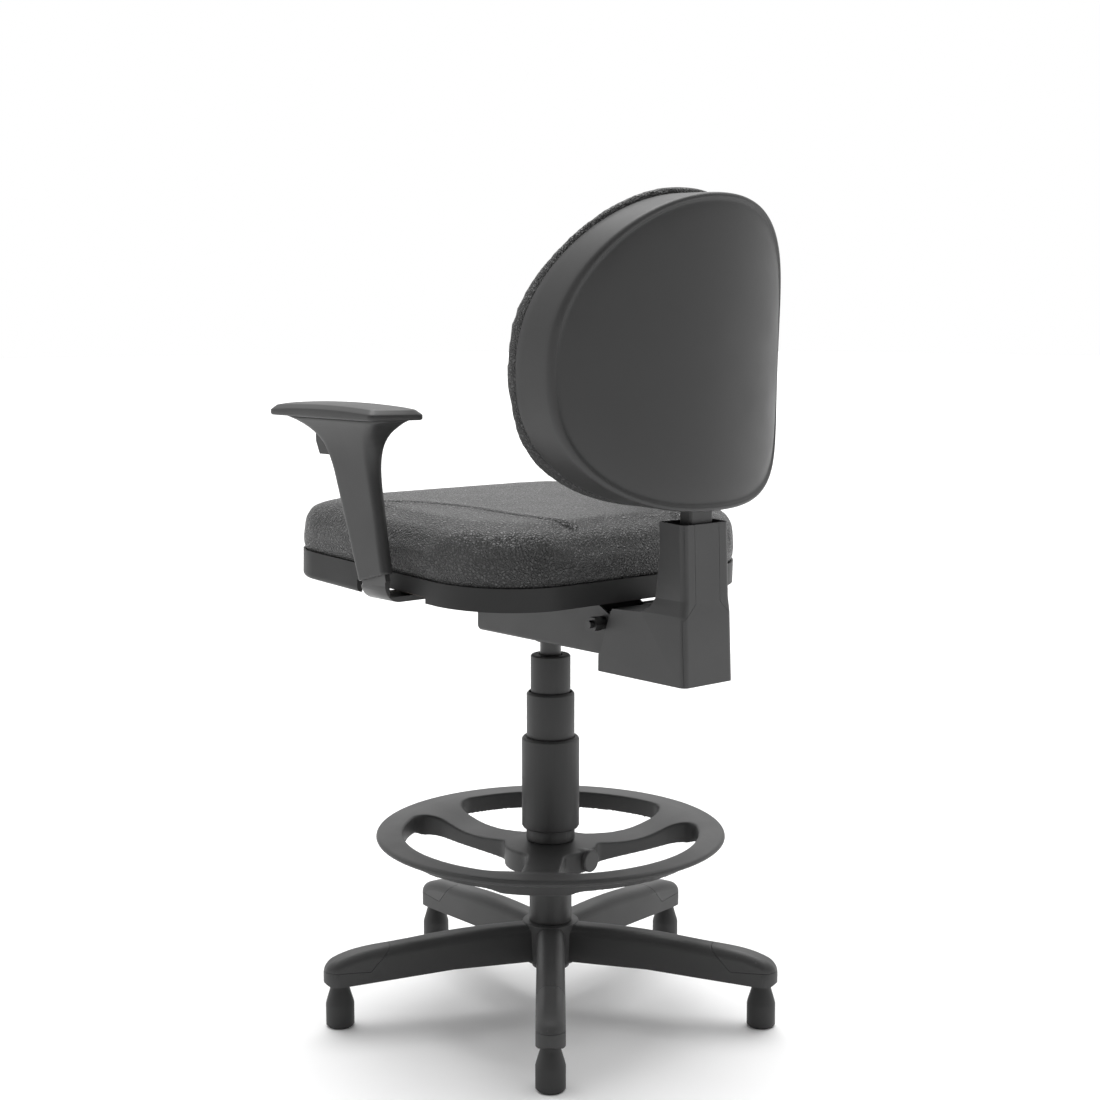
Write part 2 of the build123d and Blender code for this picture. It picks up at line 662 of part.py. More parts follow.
COVER_TOP = 676.0
COVER_FLARE_FROM = 585.0
COVER_FLARE_HALF = 43.0
COVER_CORNER_R = 8.0
COVER_SIDE = (
    (292, 481), (140, 481), (140, 502), (144, 508), (161, 558), (165, 563), (215, 565), (230, 573),
    (238, 584), (240, 598), (245, 640), (244, 678), (285, COVER_TOP),
)
COVER_INSIDE = (
    (292 - COVER_WALL, 481 + COVER_WALL), (120, 481 + COVER_WALL), (120, 563 - COVER_WALL),
    (215, 565 - COVER_WALL), (226, 575), (236, 590), (240 + COVER_WALL, 600), (244 + COVER_WALL, 640),
    (244 + COVER_WALL, 700), (285 - COVER_WALL, 700),
)
COVER_REAR = (
    (-COVER_FLARE_HALF, 470), (COVER_FLARE_HALF, 470), (COVER_FLARE_HALF - 1, 566),
    (COVER_HALF, COVER_FLARE_FROM), (COVER_HALF, 690), (-COVER_HALF, 690),
    (-COVER_HALF, COVER_FLARE_FROM), (1 - COVER_FLARE_HALF, 566),
)
with BuildPart() as cover_whole:
    with BuildSketch(Plane.YZ) as cover_side:
        Polygon(*COVER_SIDE, align=None)
        fillet(cover_side.vertices().group_by(Axis.X)[0], 1.5)
    extrude(amount=COVER_FLARE_HALF + 5, both=True)
    with BuildSketch(Plane.XZ):
        Polygon(*COVER_REAR, align=None)
    extrude(amount=-320, mode=Mode.INTERSECT)
    rear_edges = cover_whole.edges().filter_by(lambda e: e.center().Y > 280 and abs(e.center().X) > 30)
    fillet(rear_edges.filter_by(lambda e: e.length > 15), COVER_CORNER_R)
    with BuildSketch(Plane.YZ):
        Polygon(*COVER_INSIDE, align=None)
    extrude(amount=COVER_HALF - COVER_WALL, both=True, mode=Mode.SUBTRACT)

PANEL_EDGE = 21.0
PANEL_TURN = 581.0
PANEL_WIDE = 41.0
PANEL_WIDENS = 561.0
PANEL_INNER_Y = 281.0
SEAM = 0.4
PANEL = (
    (-PANEL_EDGE, 700), (-PANEL_EDGE, PANEL_TURN), (-PANEL_WIDE, PANEL_WIDENS), (-PANEL_WIDE, 470),
    (PANEL_WIDE, 470), (PANEL_WIDE, PANEL_WIDENS), (PANEL_EDGE, PANEL_TURN), (PANEL_EDGE, 700),
)
with BuildPart() as cover_shell:
    add(cover_whole.part)
    with BuildSketch(Plane.XZ.offset(-PANEL_INNER_Y)):
        Polygon(*PANEL, align=None)
    extrude(amount=-50, mode=Mode.SUBTRACT)
cover_shell.part.label = "cover_shell"
export_step(cover_shell.part, "parts/cover_shell.step")

with BuildPart() as cover_panel:
    add(cover_whole.part)
    with BuildSketch(Plane.XZ.offset(-PANEL_INNER_Y - SEAM)):
        Polygon(*PANEL, align=None)
        offset(amount=-SEAM)
    extrude(amount=-50, mode=Mode.INTERSECT)
cover_panel.part.label = "cover_panel"
export_step(cover_panel.part, "parts/cover_panel.step")

# ---------------------------------------------------------------- backrest
WRAP_Y = BACK_REAR_Y - BACK_CURVE_R
OUTLINE_STEPS = 32


def back_outline(grow=0.0, extra_top=0.0):
    """Egg-shaped outline: two half superellipses that meet at the widest height."""
    points = []
    for step in range(OUTLINE_STEPS):
        turn = 2 * math.pi * step / OUTLINE_STEPS
        across = math.cos(turn)
        upward = math.sin(turn)
        power, reach = (2.15, BACK_UP + extra_top) if upward >= 0 else (2.6, BACK_DOWN)
        x = math.copysign(abs(across) ** (2 / power), across) * (BACK_HALF + grow)
        y = math.copysign(abs(upward) ** (2 / power), upward) * (reach + grow)
        points.append((x, y))
    return points


def curved_slab(outline, rear, front, front_radius=BACK_CURVE_R):
    """A slab with the given outline that follows the back's curve, between two depths."""
    with BuildPart() as slab:
        with BuildSketch(BACK_FACE):
            with BuildLine():
                Spline(*outline, periodic=True)
            make_face()
        extrude(amount=400, both=True)
        with BuildSketch(BACK_UPWARD):
            with Locations((0, WRAP_Y - rear)):
                Circle(BACK_CURVE_R)
        extrude(amount=300, both=True, mode=Mode.INTERSECT)
        with BuildSketch(BACK_UPWARD):
            with Locations((0, BACK_REAR_Y - front - front_radius)):
                Circle(front_radius)
        extrude(amount=300, both=True, mode=Mode.SUBTRACT)
    return slab.part


SHELL_WALL = 3.0
PLATE_FRONT_Y = 254.2
PLATE_Z = 820.0
plate_screws = [(x, PLATE_Z + z) for x in (-38, 38) for z in (-55, 55)]
with BuildPart() as back_shell:
    add(curved_slab(back_outline(), 0, BACK_DEPTH))
    add(curved_slab(back_outline(-SHELL_WALL), SHELL_WALL, BACK_DEPTH + 5), mode=Mode.SUBTRACT)
    fillet(back_shell.faces().sort_by(Axis.Y)[-1].edges(), 6)
    with Locations((0, (BAR_FRONT_Y + BAR_REAR_Y) / 2, 690)):
        Box(2 * BAR_HALF + 6, BAR_REAR_Y - BAR_FRONT_Y + 8, 80, mode=Mode.SUBTRACT)
back_shell.part.label = "back_shell"
export_step(back_shell.part, "parts/back_shell.step")

with BuildPart() as back_board:
    add(curved_slab(back_outline(-SHELL_WALL - 1), BACK_BOARD_AT, BACK_BOARD_AT + BACK_BOARD))
    with BuildSketch(Plane.XZ.offset(-BAR_FRONT_Y)):
        with Locations(plate_screws):
            Circle(3)
    extrude(amount=BAR_FRONT_Y - PLATE_FRONT_Y + 5, mode=Mode.SUBTRACT)
back_board.part.label = "back_board"
export_step(back_board.part, "parts/back_board.step")

CUSHION_REAR = BACK_BOARD_AT + BACK_BOARD + 0.3
with BuildPart() as back_cushion:
    add(curved_slab(back_outline(0, 7), CUSHION_REAR, CUSHION_REAR + BACK_CUSHION, BACK_FRONT_R))
back_cushion.part.label = "back_cushion"
export_step(back_cushion.part, "parts/back_cushion.step")

with BuildPart() as upright_bar:
    with BuildSketch(Plane.XY.offset(BAR_BOTTOM)):
        with Locations((0, (BAR_FRONT_Y + BAR_REAR_Y) / 2)):
            RectangleRounded(2 * BAR_HALF, BAR_REAR_Y - BAR_FRONT_Y, 3)
    extrude(amount=BAR_TOP - BAR_BOTTOM)
upright_bar.part.label = "upright_bar"
export_step(upright_bar.part, "parts/upright_bar.step")

with BuildPart() as back_plate:
    with BuildSketch(Plane.XZ.offset(-BAR_FRONT_Y)):
        with Locations((0, PLATE_Z)):
            RectangleRounded(104, 140, 10)
        with Locations(plate_screws):
            Circle(3, mode=Mode.SUBTRACT)
    extrude(amount=BAR_FRONT_Y - PLATE_FRONT_Y)
back_plate.part.label = "back_plate"
export_step(back_plate.part, "parts/back_plate.step")

with BuildPart() as back_screws:
    with BuildSketch(Plane.XZ.offset(-BAR_FRONT_Y - 3.5)):
        with Locations(plate_screws):
            Circle(5.5)
    extrude(amount=3.5)
    with BuildSketch(Plane.XZ.offset(-BAR_FRONT_Y)):
        with Locations(plate_screws):
            Circle(3)
    extrude(amount=BAR_FRONT_Y - PLATE_FRONT_Y + 5)
back_screws.part.label = "back_screws"
export_step(back_screws.part, "parts/back_screws.step")

# ---------------------------------------------------------------- arms
LEAN = math.radians(ARM_LEAN)
# Height, front edge, rear edge and thickness of the post, from its foot to the pad.
ARM_SECTIONS = (
    (588, -54, 5, 16), (640, -73, -5, 16), (690, -92, -14, 17), (740, -110, -22, 21), (768, -125, -21, 29),
    (785, -150, -8, 41), (797, -188, 18, 56),
)
PAD_HALF = 36.0
PAD_THICK = 14.0
BUTTON_HALF = 11.0
BUTTON_SIDE = ((-98, 750), (-98, 778), (-139, 778), (-139, 766), (-131, 750))

POST = Plane(
    origin=(ARM_X, ARM_FOOT_Y, ARM_FOOT_Z),
    x_dir=(1, 0, 0),
    z_dir=(0, -math.sin(LEAN), math.cos(LEAN)),
)

with BuildPart() as arm_shell:
    for height, front, rear, thick in ARM_SECTIONS:
        with BuildSketch(Plane.XY.offset(height)):
            with Locations((ARM_X, (front + rear) / 2)):
                RectangleRounded(thick, rear - front, thick * 0.42)
    loft()
    with BuildSketch(POST):
        Rectangle(80, 200)
    extrude(amount=-60, mode=Mode.SUBTRACT)
    with BuildSketch(POST.offset(-30)):
        Rectangle(BLADE + 2 * GAP, BLADE_WIDTH + 2 * GAP)
    extrude(amount=185, mode=Mode.SUBTRACT)
    with BuildSketch(Plane.YZ.offset(ARM_X)):
        Polygon((-93, 749.4), (-93, 778.6), (-160, 778.6), (-160, 749.4), align=None)
    extrude(amount=BUTTON_HALF + GAP, both=True, mode=Mode.SUBTRACT)

with BuildPart() as arm_pad:
    with BuildSketch(Plane.XY.offset(ARM_SECTIONS[-1][0])) as pad_outline:
        Polygon(
            (ARM_X - PAD_HALF, -214), (ARM_X + PAD_HALF, -216),
            (ARM_X + PAD_HALF, 16), (ARM_X - PAD_HALF, 30),
            align=None,
        )
        fillet(pad_outline.vertices().group_by(Axis.Y)[0], 16)
        fillet(pad_outline.vertices().group_by(Axis.Y)[-1], 6)
    extrude(amount=PAD_THICK + 4)
    chamfer(arm_pad.faces().sort_by(Axis.Z)[-1].edges(), 5)

with BuildPart() as arm_button:
    with BuildSketch(Plane.YZ.offset(ARM_X)):
        Polygon(*BUTTON_SIDE, align=None)
    extrude(amount=BUTTON_HALF, both=True)

with BuildPart() as arm_bracket:
    with BuildSketch(Plane.XZ.offset(3)) as bracket_side:
        Polygon(
            (95, BRACKET_Z), (ARM_X + BLADE / 2, BRACKET_Z), (ARM_X + BLADE / 2, 620),
            (ARM_X - BLADE / 2, 620), (ARM_X - BLADE / 2, BRACKET_Z + BLADE), (95, BRACKET_Z + BLADE),
            align=None,
        )
        corners = bracket_side.vertices().filter_by(lambda v: v.X > 200)
        fillet(corners.sort_by(Axis.Y)[0], 22)
    extrude(amount=52)
    with BuildSketch(POST.offset(-5)):
        Rectangle(80, 200)
    extrude(amount=60, mode=Mode.SUBTRACT)
    with BuildSketch(POST.offset(-9)):
        Rectangle(BLADE, BLADE_WIDTH)
    extrude(amount=159)
    with BuildSketch(Plane.XY.offset(BRACKET_Z - 1)):
        with Locations((ARM_BOLTS[0], ARM_BOLT_Y), (ARM_BOLTS[1], ARM_BOLT_Y)):
            Circle(4.0)
    extrude(amount=20, mode=Mode.SUBTRACT)

arm_pieces = {
    "arm_shell": arm_shell.part,
    "arm_pad": arm_pad.part,
    "arm_button": arm_button.part,
    "arm_bracket": arm_bracket.part,
}
for name, shape in arm_pieces.items():
    for side in ("left", "right"):
        with BuildPart() as arm_piece:
            if side == "left":
                add(shape)
            else:
                mirror(shape, about=Plane.YZ)
        arm_piece.part.label = f"{name}_{side}"
        export_step(arm_piece.part, f"parts/{name}_{side}.step")

with BuildPart() as arm_bolts:
    with BuildSketch(Plane.XY.offset(BRACKET_Z - 5)):
        with Locations(arm_bolt_spots):
            RegularPolygon(7.5, 6)
    extrude(amount=5)
    with BuildSketch(Plane.XY.offset(BRACKET_Z)):
        with Locations(arm_bolt_spots):
            Circle(4.0)
    extrude(amount=20)
arm_bolts.part.label = "arm_bolts"
export_step(arm_bolts.part, "parts/arm_bolts.step")
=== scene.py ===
import json
import math

import bmesh
import bpy
import numpy as np
from mathutils import Matrix, Vector
from mathutils.bvhtree import BVHTree

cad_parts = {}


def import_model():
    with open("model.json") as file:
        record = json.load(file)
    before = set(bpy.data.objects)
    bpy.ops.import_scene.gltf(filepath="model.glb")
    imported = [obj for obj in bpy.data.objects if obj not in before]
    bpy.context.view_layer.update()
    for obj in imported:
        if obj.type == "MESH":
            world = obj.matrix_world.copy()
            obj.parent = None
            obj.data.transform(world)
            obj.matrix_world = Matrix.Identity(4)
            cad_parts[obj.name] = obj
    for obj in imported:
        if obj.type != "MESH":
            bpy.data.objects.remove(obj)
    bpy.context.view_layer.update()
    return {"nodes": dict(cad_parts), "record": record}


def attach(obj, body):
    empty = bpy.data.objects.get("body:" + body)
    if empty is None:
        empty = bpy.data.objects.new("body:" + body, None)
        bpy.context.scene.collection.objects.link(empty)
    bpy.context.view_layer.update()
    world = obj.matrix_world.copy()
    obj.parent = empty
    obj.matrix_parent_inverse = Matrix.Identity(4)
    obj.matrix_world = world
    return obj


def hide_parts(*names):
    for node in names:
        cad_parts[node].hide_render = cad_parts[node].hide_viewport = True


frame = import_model()
nodes = frame["nodes"]
MM = 0.001


# ---------------------------------------------------------------- materials
def new_material(name):
    """An empty node material: its tree, its shader and its object-space coordinates."""
    material = bpy.data.materials.new(name)
    material.use_nodes = True
    tree = material.node_tree
    shader = tree.nodes["Principled BSDF"]
    place = tree.nodes.new("ShaderNodeTexCoord").outputs["Object"]
    return material, tree, shader, place


def noise_map(tree, place, scale, detail=3.0, roughness=0.5):
    node = tree.nodes.new("ShaderNodeTexNoise")
    node.inputs["Scale"].default_value = scale
    node.inputs["Detail"].default_value = detail
    node.inputs["Roughness"].default_value = roughness
    tree.links.new(place, node.inputs["Vector"])
    return node.outputs["Fac"]


def cell_map(tree, place, scale):
    node = tree.nodes.new("ShaderNodeTexVoronoi")
    node.feature = "DISTANCE_TO_EDGE"
    node.inputs["Scale"].default_value = scale
    tree.links.new(place, node.inputs["Vector"])
    return node.outputs["Distance"]


def ramp(tree, value, low, high, out_low=0.0, out_high=1.0):
    node = tree.nodes.new("ShaderNodeMapRange")
    node.inputs["From Min"].default_value = low
    node.inputs["From Max"].default_value = high
    node.inputs["To Min"].default_value = out_low
    node.inputs["To Max"].default_value = out_high
    tree.links.new(value, node.inputs["Value"])
    return node.outputs["Result"]


def combine(tree, operation, first, second):
    node = tree.nodes.new("ShaderNodeMath")
    node.operation = operation
    for socket, value in zip(node.inputs, (first, second)):
        if isinstance(value, (int, float)):
            socket.default_value = value
        else:
            tree.links.new(value, socket)
    return node.outputs["Value"]


def blend_colour(tree, factor, dark, light):
    node = tree.nodes.new("ShaderNodeMix")
    node.data_type = "RGBA"
    node.inputs["A"].default_value = (*dark, 1)
    node.inputs["B"].default_value = (*light, 1)
    tree.links.new(factor, node.inputs["Factor"])
    return node.outputs["Result"]


def bump(tree, height, distance, strength=1.0, normal=None):
    node = tree.nodes.new("ShaderNodeBump")
    node.inputs["Distance"].default_value = distance
    node.inputs["Strength"].default_value = strength
    tree.links.new(height, node.inputs["Height"])
    if normal is not None:
        tree.links.new(normal, node.inputs["Normal"])
    return node.outputs["Normal"]


def warped(tree, place, scale, amount):
    """Coordinates pushed about by a soft noise, so that a cell pattern doesn't look regular."""
    noise = tree.nodes.new("ShaderNodeTexNoise")
    noise.inputs["Scale"].default_value = scale
    noise.inputs["Detail"].default_value = 2.0
    tree.links.new(place, noise.inputs["Vector"])
    node = tree.nodes.new("ShaderNodeVectorMath")
    node.operation = "MULTIPLY_ADD"
    node.inputs[1].default_value = (amount,) * 3
    tree.links.new(noise.outputs["Color"], node.inputs[0])
    tree.links.new(place, node.inputs[2])
    return node.outputs["Vector"]


def moulded_plastic(name, grey, roughness, grain=900.0, grain_depth=0.00006, specular=0.45):
    """Moulded plastic with a spark-eroded texture, faint flow marks and rubbed edges."""
    material, tree, shader, place = new_material(name)
    links = tree.links
    mottle = noise_map(tree, place, 14.0, 4.0)
    fine = noise_map(tree, place, grain, 2.0, 0.6)
    edge = ramp(tree, tree.nodes.new("ShaderNodeNewGeometry").outputs["Pointiness"], 0.52, 0.60)
    tone = combine(tree, "MULTIPLY_ADD", mottle, 0.5)
    links.new(edge, tone.node.inputs[2])
    shade = blend_colour(tree, tone, (grey * 0.86,) * 3, (grey * 1.35, grey * 1.35, grey * 1.36))
    links.new(shade, shader.inputs["Base Color"])
    links.new(ramp(tree, mottle, 0.3, 0.7, roughness - 0.04, roughness + 0.05), shader.inputs["Roughness"])
    shader.inputs["Specular IOR Level"].default_value = specular
    wave = noise_map(tree, place, 60.0, 2.0)
    coarse = bump(tree, wave, 0.00012, 0.4)
    links.new(bump(tree, fine, grain_depth, 0.8, coarse), shader.inputs["Normal"])
    return material


def painted_steel(name, grey, roughness):
    """Powder coat: a faint orange peel over a satin black film."""
    material, tree, shader, place = new_material(name)
    links = tree.links
    peel = noise_map(tree, place, 420.0, 2.0)
    mottle = noise_map(tree, place, 18.0, 3.0)
    edge = ramp(tree, tree.nodes.new("ShaderNodeNewGeometry").outputs["Pointiness"], 0.53, 0.62)
    tone = combine(tree, "MULTIPLY_ADD", mottle, 0.4)
    links.new(edge, tone.node.inputs[2])
    links.new(blend_colour(tree, tone, (grey * 0.85,) * 3, (grey * 1.4,) * 3), shader.inputs["Base Color"])
    links.new(ramp(tree, mottle, 0.3, 0.7, roughness - 0.05, roughness + 0.06), shader.inputs["Roughness"])
    shader.inputs["Coat Weight"].default_value = 0.12
    shader.inputs["Coat Roughness"].default_value = 0.35
    links.new(bump(tree, peel, 0.00005, 0.5), shader.inputs["Normal"])
    return material


def bare_metal(name, grey, roughness):
    """Turned steel with fine rings about the vertical axis."""
    material, tree, shader, place = new_material(name)
    links = tree.links
    stretched = tree.nodes.new("ShaderNodeMapping")
    stretched.inputs["Scale"].default_value = (1.0, 1.0, 60.0)
    links.new(place, stretched.inputs["Vector"])
    rings = noise_map(tree, stretched.outputs["Vector"], 40.0, 3.0)
    links.new(blend_colour(tree, rings, (grey * 0.8,) * 3, (grey * 1.1,) * 3), shader.inputs["Base Color"])
    links.new(ramp(tree, rings, 0.3, 0.7, roughness - 0.06, roughness + 0.08), shader.inputs["Roughness"])
    shader.inputs["Metallic"].default_value = 1.0
    links.new(bump(tree, rings, 0.00002, 0.5), shader.inputs["Normal"])
    return material


def plywood(name):
    """Bare plywood board with long grain along X, coloured near black: painted shade, so that its edges read
    as the dark gap under the leather.
    """
    material, tree, shader, place = new_material(name)
    links = tree.links
    stretched = tree.nodes.new("ShaderNodeMapping")
    stretched.inputs["Scale"].default_value = (4.0, 60.0, 60.0)
    links.new(place, stretched.inputs["Vector"])
    grain = noise_map(tree, stretched.outputs["Vector"], 6.0, 5.0, 0.6)
    # Painted shade: near black, so the board's edges show as a dark gap line.
    gap_shade_tone = blend_colour(tree, grain, (0.045, 0.034, 0.026), (0.08, 0.06, 0.045))
    links.new(gap_shade_tone, shader.inputs["Base Color"])
    shader.inputs["Roughness"].default_value = 0.7
    links.new(bump(tree, grain, 0.0002, 0.5), shader.inputs["Normal"])
    return material


def leather(name, grey, cells, roughness=0.36, depth=0.0024):
    """Coated upholstery leather: warped pebbles with creases between them, fine pores, long soft wrinkles.
    Its colour holds painted shade: darker in the creases between pebbles and in hollows such as seams and
    dimples.
    """
    material, tree, shader, place = new_material(name)
    links = tree.links
    loose = warped(tree, place, 150.0, 0.0065)
    pebble = cell_map(tree, loose, cells)
    small = cell_map(tree, loose, cells * 2.1)
    pores = noise_map(tree, place, 1500.0, 2.0)
    patches = noise_map(tree, place, 22.0, 4.0)
    crease = ramp(tree, pebble, 0.0, 0.28)
    coarse, finer = combine(tree, "MULTIPLY", crease, 0.75), combine(tree, "MULTIPLY", small, 0.22)
    grain = combine(tree, "ADD", coarse, finer)
    height = combine(tree, "ADD", grain, combine(tree, "MULTIPLY", pores, 0.05))
    # Painted shade: hollows (low pointiness) such as seam grooves and dimples go dark in the base colour.
    hollow_shade = ramp(tree, tree.nodes.new("ShaderNodeNewGeometry").outputs["Pointiness"], 0.42, 0.49)
    # Painted shade: the creases between the pebbles are made darker in the base colour.
    crease_shade, mottled = combine(tree, "MULTIPLY", crease, 0.65), combine(tree, "MULTIPLY", patches, 0.35)
    tone = combine(tree, "MULTIPLY", combine(tree, "ADD", crease_shade, mottled), hollow_shade)
    links.new(blend_colour(tree, tone, (grey * 0.22,) * 3, (grey * 1.22,) * 3), shader.inputs["Base Color"])
    links.new(ramp(tree, tone, 0.2, 0.9, roughness + 0.16, roughness - 0.05), shader.inputs["Roughness"])
    shader.inputs["Specular IOR Level"].default_value = 0.6
    soft = bump(tree, noise_map(tree, place, 70.0, 3.0), 0.0012, 0.5)
    links.new(bump(tree, height, depth, 0.95, soft), shader.inputs["Normal"])
    return material


MATERIALS = {
    "base_nylon": moulded_plastic("base_nylon", 0.045, 0.52),
    "cap_nylon": moulded_plastic("cap_nylon", 0.047, 0.50),
    "foot_nylon": moulded_plastic("foot_nylon", 0.032, 0.55),
    "ring_nylon": moulded_plastic("ring_nylon", 0.040, 0.50),
    "sleeve_plastic": moulded_plastic("sleeve_plastic", 0.033, 0.55),
    "black_steel": painted_steel("black_steel", 0.030, 0.48),
    "bar_steel": painted_steel("bar_steel", 0.026, 0.45),
    "bare_steel": bare_metal("bare_steel", 0.55, 0.30),
    "cylinder_steel": painted_steel("cylinder_steel", 0.024, 0.38),
    "fastener_steel": painted_steel("fastener_steel", 0.012, 0.36),
    "bush_plastic": moulded_plastic("bush_plastic", 0.60, 0.45),
    "shell_plastic": moulded_plastic("shell_plastic", 0.033, 0.47, 700.0),
    "arm_plastic": moulded_plastic("arm_plastic", 0.025, 0.44, 800.0),
    "pad_polyurethane": moulded_plastic("pad_polyurethane", 0.030, 0.50, 500.0, 0.00008),
    # The pan's plastic is near black: painted shade for the deep shadow under the seat.
    "pan_shade_plastic": moulded_plastic("pan_shade_plastic", 0.012, 0.50, 700.0, 0.00006, 0.30),
    "board_wood": plywood("board_wood"),
    "seat_leather": leather("seat_leather", 0.056, 250.0),
    "back_leather": leather("back_leather", 0.056, 260.0),
}
# The seat pan takes the near-black plastic, painted shade under the seat.
OWN_MATERIAL = {"seat_pan": "pan_shade_plastic"}

# Width of the softened edges in millimetres, where it isn't SOFT_EDGE.
SOFT_EDGE = 0.4
BEVEL = {
    "star_base": 1.6, "arm_bracket_left": 1.0, "arm_bracket_right": 1.0, "seat_channel": 0.7,
    "upright_bar": 0.6,
}

# Pieces whose edges are rounded in the CAD, or too small to soften.
ROUNDED = (
    "cover_shell", "cover_panel", "seat_pan", "back_shell", "seat_cushion", "back_cushion",
    "pivot_nut", "pivot_bolt", "seat_screws", "arm_bolts", "back_screws", "retaining_clip",
)

for part in frame["record"]["subparts"]:
    piece = nodes[part["node"]]
    piece.data.materials.clear()
    piece.data.materials.append(MATERIALS[OWN_MATERIAL.get(part["node"], part["material_slot"])])
    if part["node"] in ROUNDED:
        continue
    weld = piece.modifiers.new("weld", "WELD")
    weld.merge_threshold = 0.00002
    soften = piece.modifiers.new("soft_edges", "BEVEL")
    soften.width = BEVEL.get(part["node"], SOFT_EDGE) * MM
    soften.segments = 3
    soften.limit_method = "ANGLE"
    soften.angle_limit = math.radians(38)
    soften.harden_normals = True


# ---------------------------------------------------------------- mesh tools
def add_piece(name, points, faces, body, slot_name, replaced=()):
    """A mesh piece from points in millimetres, smooth shaded, riding on a body."""
    mesh = bpy.data.meshes.new(name)
    mesh.from_pydata([tuple(float(c) * MM for c in point) for point in points], [], faces)
    shape = bmesh.new()
    shape.from_mesh(mesh)
    bmesh.ops.remove_doubles(shape, verts=shape.verts, dist=0.00001)
    shape.to_mesh(mesh)
    shape.free()
    mesh.validate()
    piece = bpy.data.objects.new(name, mesh)
    bpy.context.scene.collection.objects.link(piece)
    finish_piece(piece, body, slot_name, replaced)
    return piece


def finish_piece(piece, body, slot_name, replaced=()):
    """Outward normals, smooth shading, material, and its place in the frame."""
    shape = bmesh.new()
    shape.from_mesh(piece.data)
    bmesh.ops.recalc_face_normals(shape, faces=shape.faces)
    shape.to_mesh(piece.data)
    shape.free()
    piece.data.polygons.foreach_set("use_smooth", [True] * len(piece.data.polygons))
    piece.data.materials.clear()
    piece.data.materials.append(MATERIALS[slot_name])
    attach(piece, body)
    if replaced:
        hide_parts(*replaced)


def ring_faces(count, rings, first=0):
    """Quads between rings of the same number of points."""
    faces = []
    for row in range(rings - 1):
        for step in range(count):
            after = (step + 1) % count
            low = first + row * count
            faces.append((low + step, low + after, low + count + after, low + count + step))
    return faces


def skin(name, rings, body, slot_name, replaced=()):
    """A closed skin over a list of rings; each end is closed by a fan to the ring's middle."""
    count = len(rings[0])
    points = [tuple(point) for ring in rings for point in ring]
    faces = ring_faces(count, len(rings))
    for ring, start in ((rings[0], 0), (rings[-1], (len(rings) - 1) * count)):
        middle = np.mean(np.array(ring), axis=0)
        points.append(tuple(middle))
        hub = len(points) - 1
        faces += [(start + step, start + (step + 1) % count, hub) for step in range(count)]
    return add_piece(name, points, faces, body, slot_name, replaced)


def smooth_table(rows, samples):
    """Rows of numbers, the first of each its height, read off at evenly spaced heights by a smooth curve."""
    table = np.array(rows, float)
    keys = table[:, 0]
    slopes = np.gradient(table, keys, axis=0)
    out = []
    for key in np.linspace(keys[0], keys[-1], samples):
        i = min(np.searchsorted(keys, key, side="right") - 1, len(keys) - 2)
        span = keys[i + 1] - keys[i]
        t = (key - keys[i]) / span
        out.append(
            (2 * t**3 - 3 * t**2 + 1) * table[i]
            + (t**3 - 2 * t**2 + t) * span * slopes[i]
            + (3 * t**2 - 2 * t**3) * table[i + 1]
            + (t**3 - t**2) * span * slopes[i + 1]
        )
    return np.array(out)


def subdivide(piece):
    """One round of Catmull-Clark subdivision, applied."""
    modifier = piece.modifiers.new("subdivision", "SUBSURF")
    modifier.levels = 1
    modifier.render_levels = 1
    apply_modifiers(piece)


def apply_modifiers(piece):
    graph = bpy.context.evaluated_depsgraph_get()
    mesh = bpy.data.meshes.new_from_object(piece.evaluated_get(graph))
    piece.modifiers.clear()
    piece.data = mesh


# ---------------------------------------------------------------- upholstery
SEAT_LEAN = math.radians(2.0)
SEAT_RIM = 605.0    # height of the pan's rim above the column, in millimetres


def seat_point(x, y, rise):
    """A point of the tilted seat: rise is its distance above the pan's rim, all in millimetres."""
    return (
        x,
        y * math.cos(SEAT_LEAN) + rise * math.sin(SEAT_LEAN),
        SEAT_RIM - y * math.sin(SEAT_LEAN) + rise * math.cos(SEAT_LEAN),
    )


def rounded_outline(corners, radii, step):
    """Points round a polygon whose corners are arcs, evenly spaced, counter-clockwise."""
    path = []
    count = len(corners)
    for i in range(count):
        corner, before, after = (np.array(corners[j % count], float) for j in (i, i - 1, i + 1))
        a = (before - corner) / np.linalg.norm(before - corner)
        b = (after - corner) / np.linalg.norm(after - corner)
        half = math.acos(float(a @ b)) / 2
        reach = radii[i] / math.tan(half)
        centre = corner + (a + b) / np.linalg.norm(a + b) * radii[i] / math.sin(half)
        start, end = corner + a * reach, corner + b * reach
        first = math.atan2(*(start - centre)[::-1])
        turn = (math.atan2(*(end - centre)[::-1]) - first + math.pi) % (2 * math.pi) - math.pi
        for k in range(13):
            angle = first + turn * k / 12
            path.append(centre + radii[i] * np.array((math.cos(angle), math.sin(angle))))
    path = np.array(path + [path[0]])
    lengths = np.concatenate(([0], np.cumsum(np.linalg.norm(np.diff(path, axis=0), axis=1))))
    wanted = np.linspace(0, lengths[-1], int(lengths[-1] / step), endpoint=False)
    return np.stack([np.interp(wanted, lengths, path[:, k]) for k in (0, 1)], axis=1)


def inset(outline, amount):
    """The outline moved inwards along its normals."""
    ahead = np.roll(outline, -1, axis=0) - np.roll(outline, 1, axis=0)
    normal = np.stack((-ahead[:, 1], ahead[:, 0]), axis=1)
    normal /= np.linalg.norm(normal, axis=1)[:, None]
    return outline + normal * amount


